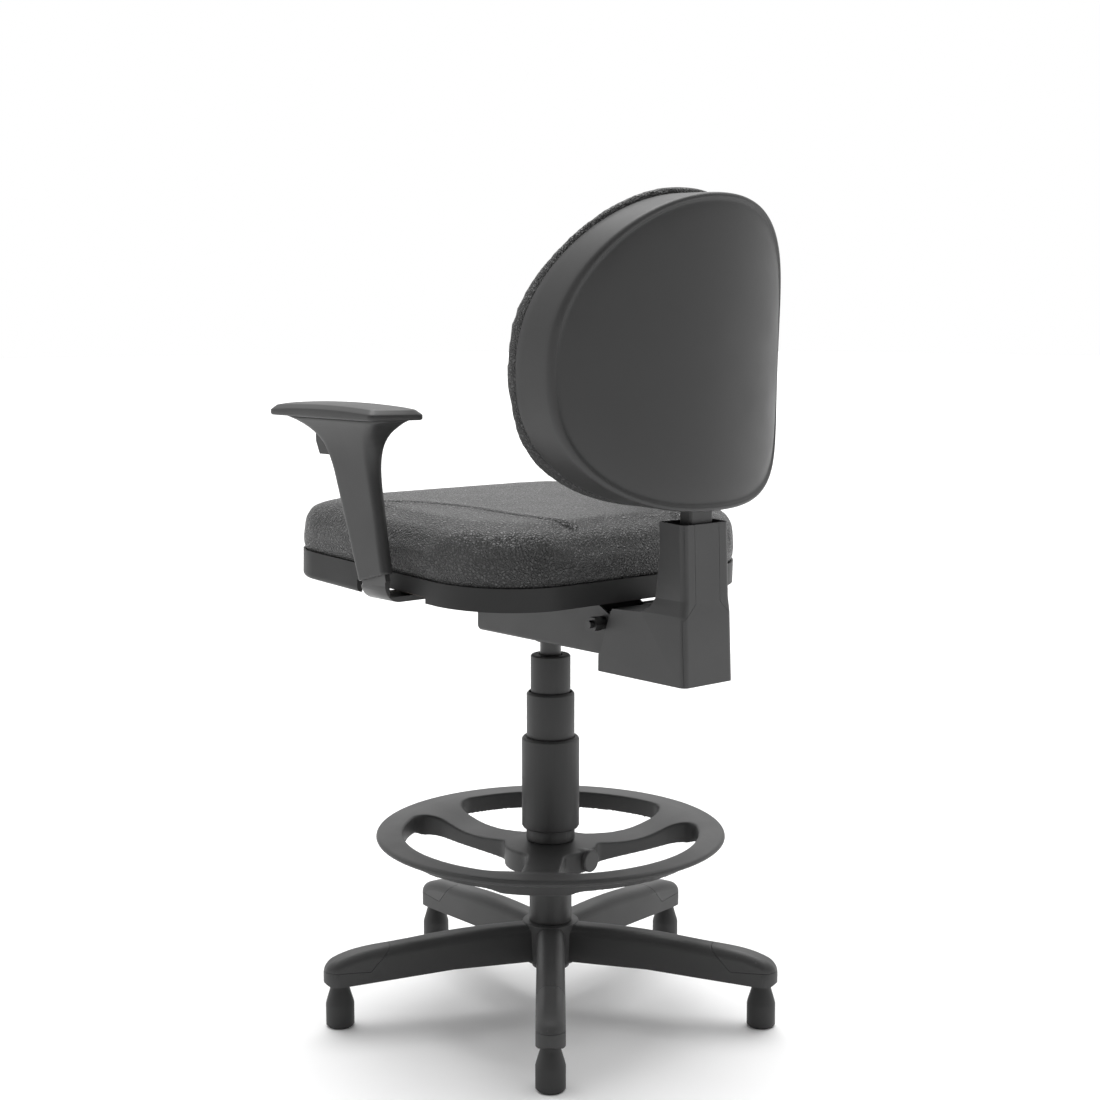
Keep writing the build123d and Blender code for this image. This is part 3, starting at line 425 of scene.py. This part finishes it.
def closed_mesh(name, rings):
    """A bare closed mesh object over rings, for simulating."""
    count = len(rings[0])
    points = [tuple(float(c) * MM for c in point) for ring in rings for point in ring]
    faces = ring_faces(count, len(rings))
    faces.append(tuple(range(count)))
    faces.append(tuple(range((len(rings) - 1) * count, len(rings) * count)))
    mesh = bpy.data.meshes.new(name)
    mesh.from_pydata(points, [], faces)
    piece = bpy.data.objects.new(name, mesh)
    bpy.context.scene.collection.objects.link(piece)
    shape = bmesh.new()
    shape.from_mesh(mesh)
    bmesh.ops.recalc_face_normals(shape, faces=shape.faces)
    shape.to_mesh(mesh)
    shape.free()
    return piece


def coordinates(mesh):
    flat = np.zeros(len(mesh.vertices) * 3, np.float32)
    mesh.vertices.foreach_get("co", flat)
    return flat.reshape(-1, 3).astype(float)


def puff(piece, held, voxel, pressure, cap):
    """Pads a closed mesh out as stuffed leather: remesh, inflate as cloth, cap the movement, subdivide.
    held gives a weight from 0, free, to 1, fixed, for each point."""
    remesh = piece.modifiers.new("remesh", "REMESH")
    remesh.mode = "VOXEL"
    remesh.voxel_size = voxel
    apply_modifiers(piece)
    rest = coordinates(piece.data)
    group = piece.vertex_groups.new(name="held")
    weights = held(rest)
    for level in np.unique(np.round(weights, 1)):
        if level > 0:
            chosen = np.nonzero(np.round(weights, 1) == level)[0].tolist()
            group.add(chosen, float(level), "REPLACE")
    cloth = piece.modifiers.new("cloth", "CLOTH")
    cloth.settings.quality = 6
    cloth.settings.mass = 0.4
    cloth.settings.tension_stiffness = 40
    cloth.settings.compression_stiffness = 30
    cloth.settings.shear_stiffness = 10
    cloth.settings.bending_stiffness = 2.0
    cloth.settings.use_pressure = True
    cloth.settings.uniform_pressure_force = pressure
    cloth.settings.vertex_group_mass = "held"
    cloth.settings.effector_weights.gravity = 0.0
    cloth.collision_settings.use_collision = False
    scene = bpy.context.scene
    scene.frame_start, scene.frame_end = 1, 20
    for number in range(1, 21):
        scene.frame_set(number)
    graph = bpy.context.evaluated_depsgraph_get()
    moved = coordinates(piece.evaluated_get(graph).data) - rest
    piece.modifiers.clear()
    scene.frame_set(1)
    reach = np.linalg.norm(moved, axis=1)
    moved *= (np.minimum(reach, cap) / np.maximum(reach, 1e-9))[:, None]
    piece.data.vertices.foreach_set("co", (rest + moved).astype(np.float32).ravel())
    piece.vertex_groups.clear()
    calm = piece.modifiers.new("calm", "SMOOTH")
    calm.factor = 0.5
    calm.iterations = 4
    subdivide(piece)


def refine(piece, path, flat, reach):
    """Splits the faces near a path, measured in the piece's own flat coordinates."""
    shape = bmesh.new()
    shape.from_mesh(piece.data)
    spots = np.array([flat(vert.co) for vert in shape.verts])
    near = distance_to(path, spots[:, :2]) < reach
    near &= spots[:, 2] > 0
    picked = [edge for edge in shape.edges if near[edge.verts[0].index] and near[edge.verts[1].index]]
    bmesh.ops.subdivide_edges(shape, edges=picked, cuts=1, use_grid_fill=True, smooth=0.0)
    loose = [face for face in shape.faces if len(face.verts) > 4]
    bmesh.ops.triangulate(shape, faces=loose)
    shape.to_mesh(piece.data)
    shape.free()


def distance_to(path, spots):
    """Distance from each spot to the nearest point of a polyline."""
    best = np.full(len(spots), 1e9)
    for a, b in zip(path[:-1], path[1:]):
        along = b - a
        t = np.clip(((spots - a) @ along) / (along @ along), 0, 1)
        best = np.minimum(best, np.linalg.norm(spots - (a + t[:, None] * along), axis=1))
    return best


def smooth_path(points, steps=14):
    """A Catmull-Rom curve through a few points."""
    p = [np.array(point, float) for point in points]
    p = [2 * p[0] - p[1]] + p + [2 * p[-1] - p[-2]]
    out = []
    for i in range(1, len(p) - 2):
        for k in range(steps):
            t = k / steps
            out.append(
                0.5 * (
                    2 * p[i] + (p[i + 1] - p[i - 1]) * t
                    + (2 * p[i - 1] - 5 * p[i] + 4 * p[i + 1] - p[i + 2]) * t * t
                    + (3 * p[i] - p[i - 1] - 3 * p[i + 1] + p[i + 2]) * t**3
                )
            )
    out.append(p[-2])
    return np.array(out)


SEAM_WIDTH = 4.6
SEAM_DEPTH = 5.2
SEAM_SWELL = 1.3
PINCH_RADIUS = 9.0
PINCH_DEPTH = 5.0


def seam(piece, path, flat, into):
    """Sinks a stitched seam into the leather along a path, with a soft swelling on both sides of it."""
    refine(piece, path, flat, 13.0)
    points = coordinates(piece.data)
    spots = np.array([flat(Vector(point)) for point in points])
    away = distance_to(path, spots[:, :2])
    ends = np.linalg.norm(spots[:, None, :2] - path[[0, -1]][None], axis=2).min(axis=1)
    fade = np.clip(ends / 16.0, 0.0, 1.0) ** 0.7
    groove = SEAM_DEPTH * np.exp(-((away / SEAM_WIDTH) ** 2)) * fade
    swelling = SEAM_SWELL * np.exp(-(((away - 9.0) / 6.0) ** 2)) * fade
    sink = (groove - swelling) * np.clip(spots[:, 2] / 6.0, 0, 1)
    points += np.array(into) * (sink * MM)[:, None]
    piece.data.vertices.foreach_set("co", points.astype(np.float32).ravel())


def dimple(piece, spot, flat, into):
    """The pinch where a seam ends."""
    points = coordinates(piece.data)
    spots = np.array([flat(Vector(point)) for point in points])
    away = np.linalg.norm(spots[:, :2] - np.array(spot), axis=1)
    sink = PINCH_DEPTH * np.exp(-((away / PINCH_RADIUS) ** 2)) * np.clip(spots[:, 2] / 6.0, 0, 1)
    points += np.array(into) * (sink * MM)[:, None]
    piece.data.vertices.foreach_set("co", points.astype(np.float32).ravel())


STITCH_OFFSET = 2.6
STITCH_PITCH = 6.5
STITCH_LENGTH = 4.2
STITCH_THICK = 0.45
# Along one stitch: share of its length, size, and height over the leather in thicknesses.
STITCH_SHAPE = ((-0.06, 0.3, -0.5), (0.1, 1.0, 0.15), (0.5, 1.0, 0.35), (0.9, 1.0, 0.15), (1.06, 0.3, -0.5))


def stitches(name, piece, path, into, place, body, slot_name):
    """A row of thread stitches beside a seam, each laid on the leather's surface."""
    lengths = np.concatenate(([0], np.cumsum(np.linalg.norm(np.diff(path, axis=0), axis=1))))
    tree = BVHTree.FromObject(piece, bpy.context.evaluated_depsgraph_get())
    direction = Vector(into)
    points, faces = [], []
    for start in np.arange(12.0, lengths[-1] - 14.0, STITCH_PITCH):
        ends = []
        for spot in (start, start + STITCH_LENGTH):
            at = np.array([np.interp(spot, lengths, path[:, k]) for k in (0, 1)])
            ahead = np.array([np.interp(spot + 1.0, lengths, path[:, k]) for k in (0, 1)]) - at
            side = np.array((-ahead[1], ahead[0])) / max(np.linalg.norm(ahead), 1e-6)
            at = at + side * STITCH_OFFSET
            origin = Vector(place(*at)) * MM - direction * 0.06
            hit, normal, _, _ = tree.ray_cast(origin, direction)
            if hit is not None:
                ends.append((hit / MM, normal))
        if len(ends) < 2:
            continue
        first = len(points)
        (a, up_a), (b, _) = ends
        along = (b - a).normalized()
        across = along.cross(up_a).normalized()
        for share, size, lift in STITCH_SHAPE:
            centre = a.lerp(b, share) + up_a * lift * STITCH_THICK
            for turn in range(6):
                angle = math.pi * turn / 3
                spoke = across * math.cos(angle) + up_a * math.sin(angle)
                points.append(centre + spoke * STITCH_THICK * size)
        faces += ring_faces(6, 5, first)
        faces.append(tuple(range(first, first + 6)))
        faces.append(tuple(range(first + 24, first + 30)))
    add_piece(name, points, faces, body, slot_name)


def mirrored(points):
    return [(-x, y) for x, y in points]


SEAT_CORNERS = ((228, -289), (241, 168), (-241, 168), (-228, -289))
SEAT_RADII = (72, 110, 110, 72)
SEAT_PROFILE = (
    (5.6, -8.0), (5.4, -1.0), (1.6, 0.9), (0.2, 3), (-0.6, 8), (-1.0, 16), (-1.0, 27), (-0.6, 37), (0.8, 46),
    (4.4, 54.0), (10.5, 60.2), (18, 63.8), (29, 66.0), (45, 67.2), (70, 67.8),
)
SEAT_SEAM = (
    (196, -140), (158, -104), (136, -68), (123, -20), (121, 28), (117, 72), (110, 106), (97, 130), (90, 141),
)


def build_seat_cushion():
    """The seat: a stuffed form that fills the pan, falls off at the front, and has a seam on each side."""
    outline = inset(rounded_outline(SEAT_CORNERS, SEAT_RADII, 6.0), 1.0)

    def crowned(x, y, rise):
        fall = 11.0 * max(0.0, min(1.0, (-y - 170.0) / 110.0)) ** 2
        return seat_point(x, y, rise - (fall - 2.5) * max(0.0, min(1.0, rise / 60.0)))

    rings = [[crowned(x, y, rise) for x, y in inset(outline, amount)] for amount, rise in SEAT_PROFILE]
    middle = np.array((0.0, -60.0))
    last = inset(outline, SEAT_PROFILE[-1][0])
    for share, rise in ((0.8, 68.0), (0.6, 68.2), (0.4, 68.4), (0.2, 68.5), (0.06, 68.5)):
        rings.append([crowned(x, y, rise) for x, y in middle + (last - middle) * share])
    piece = closed_mesh("seat_leather_cover", rings)

    def flat(point):
        x, y, z = (c / MM for c in point)
        rise = y * math.sin(SEAT_LEAN) + (z - SEAT_RIM) * math.cos(SEAT_LEAN)
        along = y * math.cos(SEAT_LEAN) - (z - SEAT_RIM) * math.sin(SEAT_LEAN)
        return x, along, rise - 34.0

    def held(points):
        rise = points[:, 1] * math.sin(SEAT_LEAN) + (points[:, 2] - SEAT_RIM * MM) * math.cos(SEAT_LEAN)
        return np.clip((0.020 - rise) / 0.008, 0.0, 1.0)

    def above(x, y):
        return seat_point(x, y, 70.0)

    puff(piece, held, voxel=0.005, pressure=2.5, cap=0.004)
    into = (0.0, -math.sin(SEAT_LEAN), -math.cos(SEAT_LEAN))
    for side, points in (("left", SEAT_SEAM), ("right", mirrored(SEAT_SEAM))):
        path = smooth_path(points)
        seam(piece, path, flat, into)
        dimple(piece, path[-1], flat, into)
        stitches(f"seat_stitches_{side}", piece, path, into, above, "seat", "seat_leather")
    finish_piece(piece, "seat", "seat_leather", ("seat_cushion",))


# ---------------------------------------------------------------- backrest
BACK_LEAN = math.radians(1.5)
BACK_HEIGHT = 865.96    # height of the widest part of the back, at the column's axis
BACK_HALF = 194.0
BACK_UP, POWER_UP = 207.0, 2.15
BACK_DOWN, POWER_DOWN = 166.0, 2.6
WRAP_RADIUS = 265.0     # the shell wraps round on this radius, about a line WRAP_CENTRE behind the column
WRAP_CENTRE = 39.0
BACK_CENTRE = np.array((0.0, 14.0))


def back_point(x, up, y):
    """A point of the reclined back: up from its widest height, y towards the rear, in millimetres."""
    return (
        x,
        y * math.cos(BACK_LEAN) + up * math.sin(BACK_LEAN),
        BACK_HEIGHT - y * math.sin(BACK_LEAN) + up * math.cos(BACK_LEAN),
    )


def rear_surface(x):
    return WRAP_CENTRE + np.sqrt(WRAP_RADIUS**2 - np.minimum(np.abs(x), 260.0) ** 2)


def ease(value):
    held = np.clip(value, 0.0, 1.0)
    return held * held * (3.0 - 2.0 * held)


def front_depth(spots):
    """Depth of the cushion's front from the shell's rear surface: fuller low down, thinner at the top."""
    x, up = spots[:, 0], spots[:, 1]
    curve = rear_surface(x) + 92.0 - np.sqrt(300.0**2 - np.minimum(np.abs(x), 290.0) ** 2)
    return curve - 15.0 * ease((up - 50.0) / 130.0) + 12.0 * ease((-up - 40.0) / 100.0)


def egg(count, extra_top=0.0):
    """Outline of the back: two half superellipses that meet at the widest height, evenly spaced."""
    turns = np.linspace(0, 2 * math.pi, 1441)
    across, upward = np.cos(turns), np.sin(turns)
    power = np.where(upward >= 0, POWER_UP, POWER_DOWN)
    reach = np.where(upward >= 0, BACK_UP + extra_top, BACK_DOWN)
    path = np.stack(
        (
            BACK_HALF * np.sign(across) * np.abs(across) ** (2 / power),
            reach * np.sign(upward) * np.abs(upward) ** (2 / power),
        ),
        axis=1,
    )
    lengths = np.concatenate(([0], np.cumsum(np.linalg.norm(np.diff(path, axis=0), axis=1))))
    wanted = np.linspace(0, lengths[-1], count, endpoint=False)
    return np.stack([np.interp(wanted, lengths, path[:, k]) for k in (0, 1)], axis=1)


def back_ring(flat_ring, depth):
    """A ring of the outline laid on the curved back; depth is one number or one for each point."""
    y = rear_surface(flat_ring[:, 0]) - depth
    return [back_point(x, up, at) for (x, up), at in zip(flat_ring, y)]


# Inset and depth of the shell's rings, from its front edge over the rim to its rear face.
SHELL_OUTSIDE = (
    (3.0, 57.5), (2.4, 59.4), (1.2, 60.0), (0.3, 59.3), (0.0, 57.8), (0.0, 46), (0.0, 34), (0.0, 22),
    (0.0, 11.0), (0.05, 5.4), (0.3, 3.6), (1.0, 1.9), (2.1, 0.8), (3.4, 0.2), (4.8, 0.1), (6.0, 0.5),
    (7.0, 1.5), (8.0, 2.5),
    (9.2, 3.0), (10.8, 3.0), (13.0, 2.7), (17.0, 2.2), (23.0, 1.7), (32.0, 1.2),
)
# Share of the last outside ring and depth, in to the middle; the same again, a wall further in.
SHELL_MIDDLE = ((0.85, 0.8), (0.68, 0.5), (0.5, 0.35), (0.32, 0.25), (0.15, 0.2), (0.0, 0.2))
SHELL_WALL = 3.4
SHELL_INSIDE = ((32.0, 5.0), (20.0, 6.0), (12.0, 7.0), (6.0, 9.0), (3.6, 14.0), (3.1, 34.0))


def build_back_shell():
    """The plastic shell: a deep band, a rolled rim with a groove inside it, and a gently domed rear."""
    outline = egg(220)
    rings = [back_ring(inset(outline, amount), depth) for amount, depth in SHELL_OUTSIDE]
    edge = inset(outline, SHELL_OUTSIDE[-1][0])
    inner = tuple((share, depth + SHELL_WALL) for share, depth in reversed(SHELL_MIDDLE))
    for share, depth in SHELL_MIDDLE + inner:
        rings.append(back_ring(BACK_CENTRE + (edge - BACK_CENTRE) * share, depth))
    rings += [back_ring(inset(outline, amount), depth) for amount, depth in SHELL_INSIDE]
    count = len(outline)
    points = [point for ring in rings for point in ring]
    faces = ring_faces(count, len(rings))
    last = (len(rings) - 1) * count
    for step in range(count):
        after = (step + 1) % count
        faces.append((last + step, last + after, after, step))
    piece = add_piece("back_shell_skin", points, faces, "backrest", "shell_plastic", ("back_shell",))
    cut_box(piece, (-22.0, 253.0, 650.0), (22.0, 281.0, 726.0))


def cut_box(piece, low, high, turn=None):
    """Cuts a box-shaped opening through a piece."""
    mesh = bpy.data.meshes.new("cutter")
    shape = bmesh.new()
    bmesh.ops.create_cube(shape, size=1.0)
    size = [(b - a) * MM for a, b in zip(low, high)]
    middle = Vector([(a + b) / 2 * MM for a, b in zip(low, high)])
    bmesh.ops.scale(shape, vec=size, verts=shape.verts)
    if turn is not None:
        bmesh.ops.rotate(shape, cent=(0, 0, 0), matrix=turn, verts=shape.verts)
    bmesh.ops.translate(shape, vec=middle, verts=shape.verts)
    shape.to_mesh(mesh)
    shape.free()
    cutter = bpy.data.objects.new("cutter", mesh)
    bpy.context.scene.collection.objects.link(cutter)
    cut = piece.modifiers.new("opening", "BOOLEAN")
    cut.operation = "DIFFERENCE"
    cut.solver = "EXACT"
    cut.object = cutter
    apply_modifiers(piece)
    bpy.data.objects.remove(cutter)
    bpy.data.meshes.remove(mesh)


# Inset, and depth measured from the shell's front edge or back from the cushion's front.
BACK_HEM = ((6.0, 61.2), (3.0, 60.2), (1.0, 60.3), (0.1, 61.2), (-0.5, 63.0))
BACK_ROLL = (
    (-0.9, 11.0), (-0.5, 8.4), (0.8, 6.0), (3.2, 3.9), (6.6, 2.4), (11.5, 1.4), (19.0, 0.8), (30.0, 0.4),
    (48.0, 0.1),
)
WAIST = ((-172, 126), (-120, 118), (-60, 112), (0, 110), (60, 112), (120, 118), (172, 126))
BACK_SEAM = ((-66, 122), (-84, 84), (-96, 40), (-100, 0), (-94, -44), (-78, -84), (-58, -108))


def build_back_cushion():
    """The back: a stuffed form in front of the shell, with a waist seam and two curved seams."""
    outline = egg(240, 7.0)
    hem = inset(outline, BACK_HEM[0][0])
    rings = [
        back_ring(BACK_CENTRE + (hem - BACK_CENTRE) * share, 61.4) for share in (0.05, 0.25, 0.45, 0.65, 0.85)
    ]
    rings += [back_ring(inset(outline, amount), depth) for amount, depth in BACK_HEM]
    for share in (0.33, 0.66):
        flat_ring = inset(outline, -0.9)
        wall = front_depth(flat_ring) - BACK_ROLL[0][1]
        rings.append(back_ring(flat_ring, 63.0 + np.maximum(wall - 63.0, 0.5) * share))
    for amount, short in BACK_ROLL:
        flat_ring = inset(outline, amount)
        rings.append(back_ring(flat_ring, np.maximum(front_depth(flat_ring) - short, 64.0)))
    edge = inset(outline, BACK_ROLL[-1][0])
    for share, crown in ((0.82, 0.4), (0.62, 1.0), (0.42, 1.6), (0.22, 2.0), (0.07, 2.0)):
        flat_ring = BACK_CENTRE + (edge - BACK_CENTRE) * share
        rings.append(back_ring(flat_ring, front_depth(flat_ring) + crown))
    piece = closed_mesh("back_leather_cover", rings)

    def flat(point):
        x, y, z = (c / MM for c in point)
        up = y * math.sin(BACK_LEAN) + (z - BACK_HEIGHT) * math.cos(BACK_LEAN)
        along = y * math.cos(BACK_LEAN) - (z - BACK_HEIGHT) * math.sin(BACK_LEAN)
        return x, up, rear_surface(x) - along - 70.0

    def held(points):
        over = points[:, 2] - BACK_HEIGHT * MM
        along = points[:, 1] * math.cos(BACK_LEAN) - over * math.sin(BACK_LEAN)
        depth = rear_surface(points[:, 0] / MM) - along / MM
        return np.clip((66.0 - depth) / 4.0, 0.0, 1.0)

    def before(x, up):
        return back_point(x, up, rear_surface(x) - 110.0)

    puff(piece, held, voxel=0.0045, pressure=2.5, cap=0.003)
    into = (0.0, math.cos(BACK_LEAN), -math.sin(BACK_LEAN))
    waist = smooth_path(WAIST)
    seam(piece, waist, flat, into)
    stitches("back_waist_stitches", piece, waist, into, before, "backrest", "back_leather")
    for side, points in (("right", BACK_SEAM), ("left", mirrored(BACK_SEAM))):
        path = smooth_path(points)
        seam(piece, path, flat, into)
        dimple(piece, path[-1], flat, into)
        stitches(f"back_stitches_{side}", piece, path, into, before, "backrest", "back_leather")
    finish_piece(piece, "backrest", "back_leather", ("back_cushion",))


# ---------------------------------------------------------------- arms
# Height, front edge, rear edge, thickness and corner radius of the post, from its foot to the pad.
ARM_ROWS = (
    (588, -54, 5, 16, 6.5), (614, -63.5, 0, 16.5, 6.5), (640, -73, -5, 17, 7), (665, -82.5, -9.5, 17, 7),
    (690, -92, -14, 17.5, 7.5), (716, -101, -19, 19, 8), (738, -109, -21.5, 21.5, 9),
    (754, -117, -21, 25, 10),
    (767, -126, -18, 30, 11), (778, -139, -11.5, 37, 12), (787, -156, -1, 45, 13), (793, -173, 9, 52, 14),
    (797.4, -190, 18, 58, 14),
)
ARM_MIDDLE = 262.5
ARM_LEAN = math.radians(14.0)
ARM_FOOT = np.array((0.0, -28.0, 602.0))


def build_arm_shell(side, sign):
    """The post: rounded sections that widen into the pad, with its foot, its slot and its button pocket."""
    rings = []
    for height, front, rear, thick, corner in smooth_table(ARM_ROWS, 46):
        corners = [(thick / 2, front), (thick / 2, rear), (-thick / 2, rear), (-thick / 2, front)]
        radius = min(corner, thick / 2 - 0.5)
        ring = []
        for (x, y), start in zip(corners, (-90, 0, 90, 180)):
            cx = x - math.copysign(radius, x)
            cy = y + radius if y == front else y - radius
            for k in range(7):
                angle = math.radians(start + 15 * k)
                ring.append((cx + radius * math.cos(angle), cy + radius * math.sin(angle)))
        bulge = 1.0 - ((np.array(ring)[:, 1] - front) / (rear - front) * 2 - 1) ** 2
        ring = [(x + math.copysign(0.8, x) * b, y) for (x, y), b in zip(ring, bulge)]
        ring = even_ring(ring, 56)
        rings.append([(sign * (ARM_MIDDLE + x), y, height) for x, y in ring])
    piece = skin(f"arm_shell_{side}_skin", rings, f"arm_{side}", "arm_plastic", (f"arm_shell_{side}",))
    turn = Matrix.Rotation(ARM_LEAN, 3, "X")
    along = np.array((0.0, -math.sin(ARM_LEAN), math.cos(ARM_LEAN)))
    middle = sign * ARM_MIDDLE
    for shift, half in ((-30, (40, 100, 30)), (62, (3.9, 25.4, 93))):
        centre = ARM_FOOT + along * shift + (middle, 0.0, 0.0)
        cut_box(piece, centre - half, centre + half, turn)
    cut_box(piece, (middle - 11.4, -160, 749.4), (middle + 11.4, -93, 778.6))


def even_ring(ring, count):
    """The same closed ring with evenly spaced points."""
    path = np.array(ring + [ring[0]])
    lengths = np.concatenate(([0], np.cumsum(np.linalg.norm(np.diff(path, axis=0), axis=1))))
    wanted = np.linspace(0, lengths[-1], count, endpoint=False)
    return list(zip(*(np.interp(wanted, lengths, path[:, k]) for k in (0, 1))))


PAD_CORNERS = ((36, -216), (36, 16), (-36, 30), (-36, -214))
PAD_RADII = (16, 7, 7, 16)
PAD_PROFILE = (
    (4.0, -1.6), (1.6, -1.5), (0.4, -0.4), (0.0, 1.6), (0.0, 5.0), (0.0, 8.4), (0.3, 9.3), (0.9, 10.0),
    (3.2, 12.0), (5.6, 14.1), (6.3, 14.7), (7.2, 15.1), (9.2, 15.5),
)


def build_arm_pad(side, sign):
    """The pad: flat underneath, bevelled round its top, crowned and bowed a little along its length."""
    outline = rounded_outline(PAD_CORNERS, PAD_RADII, 3.0)
    middle = np.array((0.0, -93.0))

    def arched(x, y, rise):
        bow = 4.5 * min(1.3, ((y + 93.0) / 123.0) ** 2) * min(1.0, max(rise, 0.0) / 8.0)
        return (sign * (ARM_MIDDLE + x), y, 798.8 + rise - bow)

    rings = []
    for amount, rise in PAD_PROFILE:
        shrink = 1.0 - amount / np.array((36.0, 123.0))
        rings.append([arched(x, y, rise) for x, y in middle + (outline - middle) * shrink])
    for share, rise in ((0.62, 16.5), (0.45, 17.1), (0.25, 17.5), (0.08, 17.6)):
        shrink = np.array((share, 0.925 * (0.55 + 0.45 * share / 0.75)))
        rings.append([arched(x, y, rise) for x, y in middle + (outline - middle) * shrink])
    piece = skin(f"arm_pad_{side}_skin", rings, f"arm_{side}", "pad_polyurethane", (f"arm_pad_{side}",))


# ---------------------------------------------------------------- footring
def build_footring():
    """The footring's CAD surface, remeshed and relaxed so that rim, spokes and hub flow together."""
    piece = bpy.data.objects.new("footring_skin", nodes["footring"].data.copy())
    bpy.context.scene.collection.objects.link(piece)
    remesh = piece.modifiers.new("remesh", "REMESH")
    remesh.mode = "VOXEL"
    remesh.voxel_size = 0.0012
    relax = piece.modifiers.new("relax", "SMOOTH")
    relax.factor = 0.5
    relax.iterations = 24
    thin = piece.modifiers.new("thin", "DECIMATE")
    thin.ratio = 0.45
    apply_modifiers(piece)
    finish_piece(piece, "footring", "ring_nylon", ("footring",))


build_seat_cushion()
build_back_shell()
build_back_cushion()
for arm_side, arm_sign in (("left", 1), ("right", -1)):
    build_arm_shell(arm_side, arm_sign)
    build_arm_pad(arm_side, arm_sign)
build_footring()


# ---------------------------------------------------------------- floor, light, camera
TO_CAMERA = (0.656, 0.755)      # level direction from the chair to the photographer
CAMERA_DIP = math.radians(7.24)


def build_stage():
    """A pale floor, the studio round it and one soft overhead light."""
    mesh = bpy.data.meshes.new("floor")
    side = 40.0
    corners = [(-side, -side, 0), (side, -side, 0), (side, side, 0), (-side, side, 0)]
    mesh.from_pydata(corners, [], [(0, 1, 2, 3)])
    floor = bpy.data.objects.new("floor", mesh)
    bpy.context.scene.collection.objects.link(floor)
    material, tree, shader, place = new_material("pale_floor")
    dust = noise_map(tree, place, 3.0)
    tree.links.new(blend_colour(tree, dust, (0.90,) * 3, (0.93,) * 3), shader.inputs["Base Color"])
    shader.inputs["Roughness"].default_value = 0.9
    shader.inputs["Specular IOR Level"].default_value = 0.1
    mesh.materials.append(material)

    build_world()

    data = bpy.data.lights.new("overhead", "SUN")
    data.energy = 2.4
    data.angle = math.radians(50)
    light = bpy.data.objects.new("overhead", data)
    light.rotation_euler = Vector((0.25, 0.30, -1.0)).to_track_quat("-Z", "Y").to_euler()
    bpy.context.scene.collection.objects.link(light)


def build_world():
    """A white studio: bright overhead and behind the chair, dimmer from where the photographer stands."""
    world = bpy.data.worlds.new("studio")
    bpy.context.scene.world = world
    world.use_nodes = True
    tree = world.node_tree
    links = tree.links
    direction = tree.nodes.new("ShaderNodeTexCoord").outputs["Generated"]
    facing = tree.nodes.new("ShaderNodeVectorMath")
    facing.operation = "DOT_PRODUCT"
    facing.inputs[1].default_value = (*TO_CAMERA, 0.0)
    links.new(direction, facing.inputs[0])
    split = tree.nodes.new("ShaderNodeSeparateXYZ")
    links.new(direction, split.inputs["Vector"])
    around = ramp(tree, facing.outputs["Value"], -0.35, 0.9, 1.0, 0.06)
    above = ramp(tree, split.outputs["Z"], 0.1, 1.0, 0.9, 1.6)
    level = combine(tree, "MULTIPLY", around, above)
    backdrop = tree.nodes.new("ShaderNodeMix")
    links.new(tree.nodes.new("ShaderNodeLightPath").outputs["Is Camera Ray"], backdrop.inputs["Factor"])
    links.new(level, backdrop.inputs["A"])
    backdrop.inputs["B"].default_value = 1.0
    sky = tree.nodes["Background"]
    sky.inputs["Color"].default_value = (1, 1, 1, 1)
    links.new(backdrop.outputs["Result"], sky.inputs["Strength"])


def build_camera():
    data = bpy.data.cameras.new("camera")
    camera = bpy.data.objects.new("camera", data)
    bpy.context.scene.collection.objects.link(camera)
    data.sensor_width = 36.0
    data.lens = 58.9
    camera.location = (1.545, 1.777, 0.916)
    ahead = Vector((-TO_CAMERA[0], -TO_CAMERA[1], -math.tan(CAMERA_DIP)))
    camera.rotation_mode = "QUATERNION"
    camera.rotation_quaternion = ahead.to_track_quat("-Z", "Y")
    bpy.context.scene.camera = camera


build_stage()
build_camera()
bpy.context.scene.view_settings.view_transform = "Standard"
